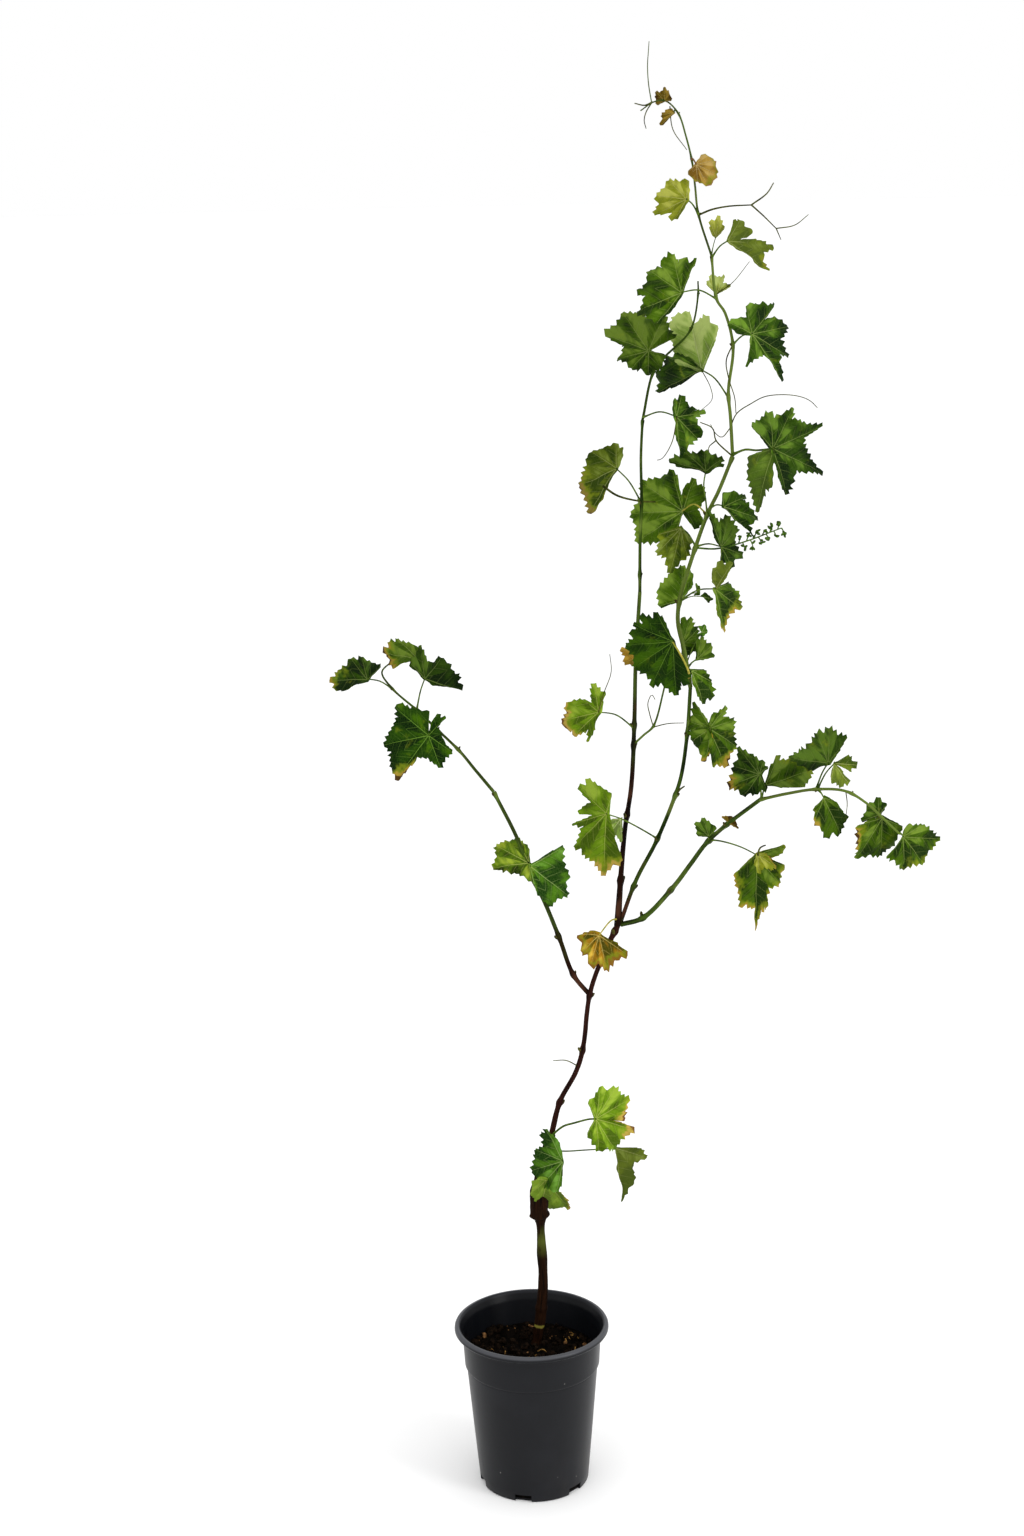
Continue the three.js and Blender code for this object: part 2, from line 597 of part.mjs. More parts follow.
plant.add(toMesh('pot', potSolid(), 'pot'));
place('soil', 'soil', soilSolid);
for (const [name, { finish, radii, route, curls }] of Object.entries(LIMBS)) {
  const step = curls ? CURL_STEP : LIMB_STEP;
  place(name, finish, (grow) => toSolid(bendLimb(route, radii, LIMB_SIDES, step, grow)));
}
for (const [name, leaf] of Object.entries(LEAVES)) {
  place(name, leaf.finish, (grow) => leafSolid(leaf, grow));
}

export default plant;
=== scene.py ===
"""A young grafted grapevine in a black nursery pot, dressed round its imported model."""

import logging
import math
import random
from dataclasses import dataclass, field
from enum import Enum
from typing import Callable, Iterable, Sequence

import bmesh
import bpy
from mathutils import Matrix, Vector, noise


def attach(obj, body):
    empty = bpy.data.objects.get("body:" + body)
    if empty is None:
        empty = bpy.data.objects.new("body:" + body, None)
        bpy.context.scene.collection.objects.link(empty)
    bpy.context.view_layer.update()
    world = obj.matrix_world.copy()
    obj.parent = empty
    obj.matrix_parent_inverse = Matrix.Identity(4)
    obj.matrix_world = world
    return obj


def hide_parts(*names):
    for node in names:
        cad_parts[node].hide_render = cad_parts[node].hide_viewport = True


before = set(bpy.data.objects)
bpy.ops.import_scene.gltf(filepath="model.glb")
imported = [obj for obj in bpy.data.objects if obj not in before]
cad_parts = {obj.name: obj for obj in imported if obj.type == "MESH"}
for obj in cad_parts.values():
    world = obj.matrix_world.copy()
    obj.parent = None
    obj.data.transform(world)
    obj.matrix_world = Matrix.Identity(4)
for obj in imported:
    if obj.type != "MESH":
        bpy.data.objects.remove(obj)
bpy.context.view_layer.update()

log = logging.getLogger("grapevine")

Point = tuple[float, float, float]
Spot = tuple[int, int]
Lobes = tuple[tuple[float, float], ...]

MM = 0.001
BODY = "root"
SEED = 41
MERGE = 1e-6
FINE_STEPS = 24
# A gap too small to divide by.
TINY = 1e-9
# The share of a curve's length, either side of a point, that gives its direction there.
LOOK_AHEAD = 0.004
# The bare share at each side of a strip of a tube's map.
MAP_MARGIN = 0.03
# The gap between a leaf's side veins, in millimetres, and how far they slant.
RIB_PITCH = 8.5
RIB_SLANT = 0.8
BAKE_MAP = "OFBake"


# Colour and nodes


def tone(code: str) -> tuple[float, float, float, float]:
    """Turns a six-figure colour code into the linear colour that a shader takes.

    Args:
        code: The colour as RRGGBB.

    Returns:
        Red, green, blue and full alpha.
    """
    parts = [int(code[i : i + 2], 16) / 255 for i in (0, 2, 4)]
    linear = [p / 12.92 if p <= 0.04045 else ((p + 0.055) / 1.055) ** 2.4 for p in parts]
    return (*linear, 1.0)


class Weave:
    """Builds one material's node tree, a node to a call."""

    def __init__(self, name: str) -> None:
        """Starts a material with its shader.

        Args:
            name: The material's name.
        """
        self.material = bpy.data.materials.new(name)
        self.material.use_nodes = True
        self.tree = self.material.node_tree
        self.shader = self.tree.nodes["Principled BSDF"]

    def add(self, kind: str, inputs: dict | None = None, **settings: object) -> bpy.types.Node:
        """Adds a node.

        Args:
            kind: The node's type.
            inputs: What each input socket is set or linked to, by name or number.
            settings: The node's own settings.

        Returns:
            The new node.
        """
        node = self.tree.nodes.new(kind)
        for key, value in settings.items():
            setattr(node, key, value)
        for key, value in (inputs or {}).items():
            self.join(value, node.inputs[key])
        return node

    def join(self, value: object, socket: bpy.types.NodeSocket) -> None:
        """Links a socket to another, or sets it to a plain value.

        Args:
            value: Another socket, a plain value or a colour code.
            socket: The input socket.
        """
        if isinstance(value, bpy.types.NodeSocket):
            self.tree.links.new(value, socket)
        else:
            socket.default_value = tone(value) if isinstance(value, str) else value

    def place(self) -> bpy.types.NodeSocket:
        """Gives the place on the object, in metres."""
        return self.add("ShaderNodeTexCoord").outputs["Object"]

    def attribute(self, name: str) -> bpy.types.Node:
        """Gives the node that reads one of the mesh's own attributes."""
        return self.add("ShaderNodeAttribute", attribute_name=name)

    def math(self, operation: str, *values: object) -> bpy.types.NodeSocket:
        """Works out one sum.

        Args:
            operation: The node's operation, such as ADD.
            values: Numbers or sockets.

        Returns:
            The result's socket.
        """
        node = self.add("ShaderNodeMath", dict(enumerate(values)), operation=operation)
        return node.outputs[0]

    def ramp(
        self, value: object, low: float, high: float, start: float = 0.0, end: float = 1.0
    ) -> bpy.types.NodeSocket:
        """Maps low to start and high to end, smoothly and held at both ends.

        Args:
            value: The socket to map.
            low: The value that gives start.
            high: The value that gives end.
            start: The result at low.
            end: The result at high.

        Returns:
            The result's socket.
        """
        rows = {"Value": value, 1: low, 2: high, 3: start, 4: end}
        node = self.add("ShaderNodeMapRange", rows, interpolation_type="SMOOTHSTEP")
        return node.outputs["Result"]

    def noise(
        self, where: object, scale: float, detail: float = 3.0, roughness: float = 0.55
    ) -> bpy.types.NodeSocket:
        """Gives soft noise from 0 to 1.

        Args:
            where: The socket with the place.
            scale: How fine the noise is.
            detail: How many finer layers it holds.
            roughness: How strong those are.

        Returns:
            The noise's socket.
        """
        rows = {"Vector": where, "Scale": scale, "Detail": detail, "Roughness": roughness}
        return self.add("ShaderNodeTexNoise", rows).outputs[0]

    def stretched(self, where: object, scale: Point) -> bpy.types.NodeSocket:
        """Scales a place along each axis."""
        return self.add("ShaderNodeMapping", {"Vector": where, "Scale": scale}).outputs[0]

    def mix(self, share: object, first: object, second: object) -> bpy.types.NodeSocket:
        """Mixes two colours.

        Args:
            share: How much of the second colour shows.
            first: The first colour.
            second: The second colour.

        Returns:
            The mixed colour's socket.
        """
        node = self.add("ShaderNodeMix", data_type="RGBA")
        self.join(share, node.inputs["Factor"])
        self.join(first, node.inputs[6])
        self.join(second, node.inputs[7])
        return node.outputs[2]

    def finish(
        self,
        colour: object,
        roughness: object,
        height: object = None,
        depth: float = 0.001,
        strength: float = 1.0,
        plain: dict[str, float] | None = None,
    ) -> bpy.types.Material:
        """Sets the shader and ends the material.

        Args:
            colour: The surface's colour.
            roughness: The surface's roughness.
            height: The relief, or nothing.
            depth: How deep the relief is, in metres.
            strength: How much of the relief shows.
            plain: Even numbers for other sockets of the shader, by name.

        Returns:
            The finished material.
        """
        self.join(colour, self.shader.inputs["Base Color"])
        self.join(roughness, self.shader.inputs["Roughness"])
        for name, value in (plain or {}).items():
            self.shader.inputs[name].default_value = value
        if height is not None:
            rows = {"Height": height, "Distance": depth, "Strength": strength}
            self.join(self.add("ShaderNodeBump", rows).outputs[0], self.shader.inputs["Normal"])
        return self.material


# Finishes


@dataclass(frozen=True)
class LeafFinish:
    """The tints of a leaf's upper and under side, and of its scorched places."""

    # The dark, mid and light tones hold the leaf's own mottled green and also its painted shade and painted
    # sheen.
    dark: str
    mid: str
    light: str
    vein: str
    under: str
    tan: str = "91782c"
    scorch: str = "301a0c"
    halo: str = "748018"
    roughness: float = 0.46

    def dress(self, name: str, underside: bool) -> bpy.types.Material:
        """Makes the material of one side.

        Args:
            name: The tone's name.
            underside: True for the paler side with raised veins.

        Returns:
            The material.
        """
        weave = Weave(f"leaf_{name}_{'under' if underside else 'upper'}")
        spot = weave.place()
        vein = weave.attribute("vein")
        split = weave.add("ShaderNodeSeparateXYZ", {0: vein.outputs["Vector"]})
        off, along, reach = split.outputs
        tint = weave.attribute("tint").outputs["Fac"]
        # The painted light and random clouds that the blade's mesh carries.
        glow = weave.attribute("glow").outputs["Fac"]
        burn = weave.attribute("burn").outputs["Fac"]
        cloud = weave.noise(spot, 70, 3)
        grain = weave.noise(spot, 300, 4, 0.6)
        slanted = weave.math("MULTIPLY_ADD", off, -RIB_SLANT, along)
        phase = weave.math("FRACT", weave.math("DIVIDE", slanted, RIB_PITCH))
        beat = weave.math("ABSOLUTE", weave.math("SUBTRACT", phase, 0.5))
        width = weave.math("MULTIPLY_ADD", reach, -0.4, 0.55)
        main = weave.ramp(weave.math("DIVIDE", off, width), 0.4, 1.1, 1, 0)
        side = weave.ramp(weave.math("MULTIPLY", beat, RIB_PITCH), 0.1, 0.5, 1, 0)
        side = weave.math("MULTIPLY", side, weave.ramp(reach, 0.5, 1.0, 0.42, 0.05))
        ribs = weave.math("MAXIMUM", main, side)
        cells = weave.add(
            "ShaderNodeTexVoronoi", {"Vector": spot, "Scale": 430}, feature="DISTANCE_TO_EDGE"
        ).outputs["Distance"]
        net = weave.ramp(cells, 0.02, 0.14, 0.05, 0)
        # Painted light: random clouds, the painted lit side and painted fan shade, and painted shade
        # between the side veins (lighter along them) pick the dark, mid and light tones.
        painted_lit = weave.math("MULTIPLY_ADD", weave.math("SUBTRACT", cloud, 0.5), 0.45, glow)
        painted_lit = weave.math("MULTIPLY_ADD", weave.math("SUBTRACT", beat, 0.25), 0.3, painted_lit)
        base = weave.mix(weave.ramp(painted_lit, 0.2, 0.52), self.dark, self.mid)
        base = weave.mix(weave.ramp(painted_lit, 0.53, 0.88), base, self.light)
        base = weave.mix(net, base, self.vein)
        if underside:
            base = weave.mix(0.34, base, self.under)
        base = weave.mix(weave.math("MULTIPLY", ribs, 0.6), base, self.vein)
        fringe = weave.math("MULTIPLY_ADD", weave.math("SUBTRACT", cloud, 0.5), 0.9, burn)
        base = weave.mix(weave.ramp(fringe, 0.1, 0.3, 0, 0.6), base, self.halo)
        base = weave.mix(weave.ramp(fringe, 0.28, 0.46, 0, 0.85), base, self.tan)
        base = weave.mix(weave.ramp(fringe, 0.55, 0.72, 0, 0.9), base, self.scorch)
        shade = weave.add("ShaderNodeHueSaturation", {"Value": tint, "Color": base})
        height = weave.math("MULTIPLY_ADD", grain, 0.3, weave.math("MULTIPLY", beat, 1.2))
        rib_height = 1.2 if underside else -0.9
        height = weave.math("MULTIPLY_ADD", ribs, rib_height, height)
        matt = 0.2 if underside else 0.0
        low = self.roughness - 0.06 + matt
        rough = weave.ramp(grain, 0.3, 0.7, low, low + 0.18)
        plain = {"Specular IOR Level": 0.015 if underside else 0.03}
        return weave.finish(shade.outputs[0], rough, height, 0.0006, 0.8, plain)


class LeafTone(Enum):
    """The tones that the leaves of this vine have, from old to young."""

    NIGHT = LeafFinish("031601", "132d01", "2e4d01", "6f9436", "3a531c")
    DEEP = LeafFinish("051901", "213a01", "506c1e", "748643", "4a5f27")
    GREEN = LeafFinish("122701", "344f01", "627a26", "84964c", "5d732e")
    BLUE_GREEN = LeafFinish("0e2c01", "3a5f0c", "5e8830", "95ad62", "6e894f")
    BRIGHT = LeafFinish("334a02", "527009", "7c942c", "a2ac54", "6e8436", "9f853d", "512e15")
    YOUNG = LeafFinish("192a01", "456208", "8c9f2e", "aeb95e", "768e3a", "98853d", "512e15")
    OLIVE = LeafFinish("253701", "49580b", "718034", "949c5a", "626f2c", "78672f", "402011")
    PALE = LeafFinish("273a01", "597715", "a6b567", "c1cb8c", "839750", "867c44")
    PALE_YOUNG = LeafFinish("414d06", "87933d", "a7b565", "b8c374", "99a659", "867c44")
    LIME = LeafFinish("505908", "737a17", "a0a345", "b2b364", "898d40", "86782c", "5f421c")
    GOLDEN = LeafFinish("3d3a01", "88610c", "c9a53c", "d5bd66", "9a7f37", "734b18", "44210c")
    ROSY = LeafFinish("6a4d12", "9c7d33", "af9353", "c0a971", "99814b", "8a5c3d", "532e1c")
    DRY = LeafFinish("332101", "564507", "856d25", "9e8b4b", "6a5829", "634428", "2e160c")

    def sides(self) -> tuple[bpy.types.Material, bpy.types.Material]:
        """Gives the tone's materials, made once.

        Returns:
            The material of the upper side and that of the under side.
        """
        name = self.name.lower()
        found = bpy.data.materials.get(f"leaf_{name}_upper")
        if found:
            return found, bpy.data.materials[f"leaf_{name}_under"]
        return self.value.dress(name, False), self.value.dress(name, True)


@dataclass(frozen=True)
class StemFinish:
    """Green shoots that ripen to brown wood, by the mesh's own ripe attribute."""

    green: str = "354b12"
    green_dark: str = "0d1b01"
    green_light: str = "748639"
    wood: str = "1c0902"
    wood_dark: str = "030101"
    wood_light: str = "4e2f1f"

    def dress(self) -> bpy.types.Material:
        """Makes the material with streaks that run along the shoot.

        Returns:
            The material.
        """
        weave = Weave("green_and_ripe_shoots")
        grain = weave.attribute("grain").outputs["Vector"]
        streak = weave.noise(weave.stretched(grain, (260, 260, 28)), 1, 3, 0.6)
        blot = weave.noise(weave.stretched(grain, (70, 70, 24)), 1, 2)
        ripe = weave.attribute("ripe").outputs["Fac"]
        young = weave.attribute("young").outputs["Fac"]
        green = weave.mix(weave.ramp(streak, 0.38, 0.6), self.green_dark, self.green)
        fair = weave.math("MAXIMUM", young, weave.ramp(blot, 0.5, 0.7, 0, 0.6))
        green = weave.mix(weave.math("MULTIPLY", fair, 0.8), green, self.green_light)
        wood = weave.mix(weave.ramp(streak, 0.36, 0.62), self.wood_dark, self.wood)
        wood = weave.mix(weave.ramp(blot, 0.56, 0.75, 0, 0.7), wood, self.wood_light)
        edge = weave.math("MULTIPLY_ADD", weave.math("SUBTRACT", blot, 0.5), 0.7, ripe)
        colour = weave.mix(weave.ramp(edge, 0.35, 0.65), green, wood)
        rough = weave.ramp(streak, 0.3, 0.7, 0.4, 0.62)
        plain = {"Specular IOR Level": 0.04}
        return weave.finish(colour, rough, streak, 0.0005, 0.7, plain)


@dataclass(frozen=True)
class BarkFinish:
    """Flaking bark on the old wood, with greener and pale scarred places."""

    name: str = "vine_bark"
    crack: str = "070403"
    bark: str = "1f1007"
    ridge: str = "402616"
    moss: str = "464d1c"
    scar: str = "77702f"

    def dress(self) -> bpy.types.Material:
        """Makes the material with fibres that run along the wood.

        Returns:
            The material.
        """
        weave = Weave(self.name)
        grain = weave.attribute("grain").outputs["Vector"]
        fibre = weave.noise(weave.stretched(grain, (420, 420, 32)), 1, 5, 0.65)
        blot = weave.noise(weave.stretched(grain, (110, 110, 60)), 1, 3)
        colour = weave.mix(weave.ramp(fibre, 0.34, 0.54), self.crack, self.bark)
        colour = weave.mix(weave.ramp(fibre, 0.56, 0.78, 0, 0.85), colour, self.ridge)
        moss = weave.attribute("moss").outputs["Fac"]
        green = weave.math("MULTIPLY", moss, weave.ramp(blot, 0.32, 0.5))
        colour = weave.mix(green, colour, self.moss)
        scar = weave.attribute("scar").outputs["Fac"]
        pale = weave.ramp(weave.math("MULTIPLY_ADD", fibre, 0.6, scar), 0.75, 1.05)
        colour = weave.mix(pale, colour, self.scar)
        height = weave.math("MULTIPLY_ADD", blot, 0.5, fibre)
        rough = weave.ramp(fibre, 0.3, 0.7, 0.6, 0.9)
        plain = {"Specular IOR Level": 0.025}
        return weave.finish(colour, rough, height, 0.0014, 0.9, plain)


@dataclass(frozen=True)
class PlainGrowth:
    """Small parts with one soft tone and its own mottling: stalks, tendrils, buds and fibres."""

    name: str
    dark: str
    light: str
    roughness: float = 0.55
    scale: float = 140

    def dress(self) -> bpy.types.Material:
        """Makes the material with soft mottling.

        Returns:
            The material.
        """
        weave = Weave(self.name)
        spot = weave.place()
        cloud = weave.noise(spot, self.scale, 3)
        colour = weave.mix(weave.ramp(cloud, 0.32, 0.68), self.dark, self.light)
        fine = weave.noise(spot, self.scale * 9, 3)
        rough = weave.ramp(fine, 0.3, 0.7, self.roughness - 0.08, self.roughness + 0.1)
        return weave.finish(colour, rough, fine, 0.0003, 0.5, {"Specular IOR Level": 0.03})


@dataclass(frozen=True)
class PotFinish:
    """Black moulded plastic with a satin sheen, faint bloom low down, dust, and a painted highlight on top
    of the lip.
    """

    name: str = "black_pot_plastic"
    black: str = "07080b"
    worn: str = "101115"
    bloom: str = "2e2a26"
    dust: str = "84847f"
    # The pale tone of the painted highlight on top of the lip.
    lip: str = "46474b"
    band: str = "050609"

    def dress(self) -> bpy.types.Material:
        """Makes the material with its painted lip highlight, its bloom and its dust.

        Returns:
            The material.
        """
        weave = Weave(self.name)
        spot = weave.place()
        cloud = weave.noise(spot, 14, 4, 0.6)
        smear = weave.noise(weave.stretched(spot, (40, 40, 9)), 1, 4, 0.6)
        colour = weave.mix(weave.ramp(cloud, 0.4, 0.66, 0, 0.7), self.black, self.worn)
        split = weave.add("ShaderNodeSeparateXYZ", {0: spot}).outputs
        low = weave.ramp(split[2], 0.0, 0.075, 1, 0)
        film = weave.math("MULTIPLY", low, weave.ramp(smear, 0.42, 0.68))
        side = weave.ramp(split[0], 0.02, 0.062, 0.12, 0.7)
        colour = weave.mix(weave.math("MULTIPLY", film, side), colour, self.bloom)
        band = weave.ramp(split[2], 0.1385, 0.141, 0, 0.6)
        colour = weave.mix(band, colour, self.band)
        # Painted highlight: the top of the lip is paler.
        rim = weave.ramp(split[2], 0.1822, 0.1848, 0.1, 0.95)
        colour = weave.mix(rim, colour, self.lip)
        dots = weave.add("ShaderNodeTexVoronoi", {"Vector": spot, "Scale": 75, "Randomness": 1})
        speck = weave.ramp(dots.outputs["Distance"], 0.035, 0.07, 0.8, 0)
        some = weave.ramp(weave.noise(spot, 22, 1), 0.55, 0.6)
        colour = weave.mix(weave.math("MULTIPLY", speck, some), colour, self.dust)
        fine = weave.noise(spot, 900, 2)
        rough = weave.math("MULTIPLY_ADD", smear, 0.2, 0.24)
        height = weave.math("MULTIPLY_ADD", fine, 0.35, cloud)
        return weave.finish(colour, rough, height, 0.0004, 0.35, {"Specular IOR Level": 0.12})


@dataclass(frozen=True)
class SoilFinish:
    """Damp dark potting soil."""

    wet: str = "030201"
    crumb: str = "0f0a06"
    dry: str = "33251a"

    def dress(self) -> bpy.types.Material:
        """Makes the material with two sizes of lumps.

        Returns:
            The material.
        """
        weave = Weave("potting_soil")
        spot = weave.place()
        lump = weave.noise(spot, 90, 6, 0.7)
        crumb = weave.noise(spot, 420, 4, 0.7)
        colour = weave.mix(weave.ramp(lump, 0.4, 0.62), self.wet, self.crumb)
        colour = weave.mix(weave.ramp(crumb, 0.66, 0.8, 0, 0.5), colour, self.dry)
        height = weave.math("ADD", lump, crumb)
        rough = weave.ramp(crumb, 0.3, 0.7, 0.75, 1.0)
        return weave.finish(colour, rough, height, 0.003, 1.0, {"Specular IOR Level": 0.03})


class Slot(Enum):
    """The record's material slots."""

    POT = "pot"
    SOIL = "soil"
    BARK = "bark"
    SHOOT = "green_shoot"
    DEEP = "leaf_deep"
    MID = "leaf_mid"
    FRESH = "leaf_fresh"
    PALE = "leaf_pale"
    OLIVE = "leaf_olive"
    GOLDEN = "leaf_golden"


# Shapes


class Bend:
    """A smooth curve through a row of points, measured along its length."""

    def __init__(self, points: Sequence[Point | Vector]) -> None:
        """Draws the curve.

        Args:
            points: The points that it passes, in millimetres.
        """
        knots = [Vector(point) * MM for point in points]
        row = [2 * knots[0] - knots[1], *knots, 2 * knots[-1] - knots[-2]]
        self.line = [
            self._between(row[i : i + 4], step / FINE_STEPS)
            for i in range(len(knots) - 1)
            for step in range(FINE_STEPS)
        ]
        self.line.append(knots[-1])
        self.reach = [0.0]
        for start, end in zip(self.line, self.line[1:]):
            self.reach.append(self.reach[-1] + (end - start).length)
        self.length = self.reach[-1]

    @staticmethod
    def _between(row: Sequence[Vector], share: float) -> Vector:
        """Gives a point between the middle two of four points.

        Args:
            row: The four points.
            share: The share of the way from the second to the third.

        Returns:
            The point.
        """
        before, start, end, after = row
        gaps = [max((b - a).length_squared**0.25, TINY) for a, b in zip(row, row[1:])]
        first = (start - before) / gaps[0] - (end - before) / (gaps[0] + gaps[1])
        first = (first + (end - start) / gaps[1]) * gaps[1]
        last = (end - start) / gaps[1] - (after - start) / (gaps[1] + gaps[2])
        last = (last + (after - end) / gaps[2]) * gaps[1]
        square = -3 * start + 3 * end - 2 * first - last
        cube = 2 * start - 2 * end + first + last
        return start + first * share + square * share**2 + cube * share**3

    def find(self, share: float) -> tuple[Vector, float]:
        """Finds a place along the curve.

        Args:
            share: The share of its length.

        Returns:
            The point, and the share of the row of points that lies before it.
        """
        wanted = min(max(share, 0.0), 1.0) * self.length
        low = 0
        high = len(self.reach) - 2
        while low < high:
            middle = (low + high + 1) // 2
            if self.reach[middle] <= wanted:
                low = middle
            else:
                high = middle - 1
        gap = self.reach[low + 1] - self.reach[low]
        part = (wanted - self.reach[low]) / gap if gap else 0.0
        point = self.line[low].lerp(self.line[low + 1], min(part, 1.0))
        return point, (low + min(part, 1.0)) / (len(self.line) - 1)

    def frames(self, shares: Sequence[float]) -> list[tuple[Vector, Vector, Vector]]:
        """Finds points and directions across the curve that turn with it.

        Args:
            shares: The shares of its length.

        Returns:
            The point and two directions across the curve, for each share.
        """
        rows = []
        across = None
        for share in shares:
            ahead = self.find(share + LOOK_AHEAD)[0] - self.find(share - LOOK_AHEAD)[0]
            ahead.normalize()
            if across is None:
                across = ahead.orthogonal().normalized()
            across = (across - ahead * across.dot(ahead)).normalized()
            rows.append((self.find(share)[0], across.copy(), ahead.cross(across)))
        return rows


class Patch:
    """A grid in a bmesh whose corners are known by their column and row."""

    def __init__(self, mesh: bmesh.types.BMesh, columns: int, rows: int) -> None:
        """Adds the grid.

        Args:
            mesh: The bmesh that takes it.
            columns: How many faces it has across.
            rows: How many faces it has along.
        """
        made = bmesh.ops.create_grid(mesh, x_segments=columns, y_segments=rows, size=1)
        self.spots = {
            vert: (round((vert.co.x + 1) / 2 * columns), round((vert.co.y + 1) / 2 * rows))
            for vert in made["verts"]
        }
        self.faces = list(dict.fromkeys(f for vert in self.spots for f in vert.link_faces))

    def move(self, place: Callable[[int, int], Vector]) -> None:
        """Moves each corner to the place that its column and row give."""
        for vert, spot in self.spots.items():
            vert.co = place(*spot)

    def spread(
        self, layer: object, place: Callable[[int, int, int], tuple[float, float]]
    ) -> None:
        """Lays the faces out on a map.

        Args:
            layer: The map's layer.
            place: Gives the place from the column, the row and the face's first row.
        """
        for face in self.faces:
            first = min(self.spots[loop.vert][1] for loop in face.loops)
            for loop in face.loops:
                loop[layer].uv = place(*self.spots[loop.vert], first)


def close_up(mesh: bmesh.types.BMesh, sharp_degrees: float = 60) -> None:
    """Merges doubles, turns the faces outwards and shades them smooth.

    Args:
        mesh: The bmesh.
        sharp_degrees: Edges with a sharper turn than this stay sharp.
    """
    bmesh.ops.remove_doubles(mesh, verts=mesh.verts, dist=MERGE)
    bmesh.ops.recalc_face_normals(mesh, faces=mesh.faces)
    limit = math.radians(sharp_degrees)
    for face in mesh.faces:
        face.smooth = True
    for edge in mesh.edges:
        edge.smooth = edge.calc_face_angle(0.0) < limit


def link(name: str, data: bpy.types.ID) -> bpy.types.Object:
    """Puts a new object into the scene.

    Args:
        name: The object's name.
        data: Its mesh, light or camera.

    Returns:
        The object.
    """
    made = bpy.data.objects.new(name, data)
    bpy.context.scene.collection.objects.link(made)
    return made


def as_object(mesh: bmesh.types.BMesh, name: str) -> bpy.types.Object:
    """Turns a bmesh into an object in the scene.

    Args:
        mesh: The bmesh, which is freed.
        name: The object's name.

    Returns:
        The object.
    """
    data = bpy.data.meshes.new(name)
    mesh.to_mesh(data)
    mesh.free()
    return link(name, data)


def keep(
    mesh: bmesh.types.BMesh,
    name: str,
    materials: Sequence[bpy.types.Material],
    slot: Slot,
    nodes: Iterable[str] = (),
) -> bpy.types.Object:
    """Turns a bmesh into a piece of the plant.

    Args:
        mesh: The bmesh, which is freed.
        name: The piece's name.
        materials: Its materials, in the order of its face slots.
        slot: The record's material slot, which is not used.
        nodes: The CAD nodes that it replaces.

    Returns:
        The piece.
    """
    piece = as_object(mesh, name)
    for material in materials:
        piece.data.materials.append(material)
    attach(piece, BODY)
    names = list(nodes)
    if names:
        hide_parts(*names)
    log.info("%s: %d faces", name, len(piece.data.polygons))
    return piece


def grow_tube(
    mesh: bmesh.types.BMesh,
    bend: Bend,
    radius: Callable[[float, float], float],
    sides: int,
    step: float,
    material: int = 0,
    dress: Callable[[object, float, float], None] | None = None,
    strips: int = 1,
) -> Patch:
    """Adds a closed tube along a curve.

    Args:
        mesh: The bmesh that takes it.
        bend: The curve.
        radius: Gives the radius, in metres, from the share of the length and the angle.
        sides: How many faces it has round.
        step: The length of one face, in metres.
        material: The faces' material slot.
        dress: Sets a corner's attributes from its share and angle.
        strips: How many strips side by side its map is cut into.

    Returns:
        The tube's patch.
    """
    rings = max(4, round(bend.length / step))
    shares = [0.0, *(i / rings for i in range(rings + 1)), 1.0]
    rows = len(shares) - 1
    patch = Patch(mesh, sides, rows)
    places = bend.frames(shares)

    def place(column: int, row: int) -> Vector:
        """Places a corner of the tube.

        Args:
            column: The corner's column.
            row: The corner's row.

        Returns:
            The corner's place, in metres.
        """
        centre, across, up = places[row]
        if row in (0, rows):
            return centre.copy()
        angle = 2 * math.pi * column / sides
        reach = radius(shares[row], angle)
        return centre + (across * math.cos(angle) + up * math.sin(angle)) * reach

    def unroll(column: int, row: int, first: int) -> tuple[float, float]:
        """Lays a corner out on the map.

        Args:
            column: The corner's column.
            row: The corner's row.
            first: The first row of its face.

        Returns:
            The corner's spot on the map.
        """
        strip = min(first * strips // rows, strips - 1)
        across = strip + MAP_MARGIN + (1 - 2 * MAP_MARGIN) * column / sides
        return across / strips, row * strips / rows - strip

    patch.move(place)
    layer = mesh.loops.layers.uv.get(BAKE_MAP)
    if layer:
        patch.spread(layer, unroll)
    for face in patch.faces:
        face.material_index = material
    if dress:
        for vert, (column, row) in patch.spots.items():
            dress(vert, shares[row], 2 * math.pi * column / sides)
    return patch


# Stems


@dataclass(frozen=True)
class LimbRow:
    """A limb: its radii and route in millimetres, its swellings and how ripe it is."""

    name: str
    radii: tuple[float, ...]
    route: tuple[Point, ...]
    swellings: tuple[float, ...] = ()
    ripe: tuple[float, float] = (0.0, 0.0)
    young: float = 0.2
    old: bool = False
    slim: float = 1.0

    def bend(self) -> Bend:
        """Gives the limb's curve."""
        return Bend(self.route)


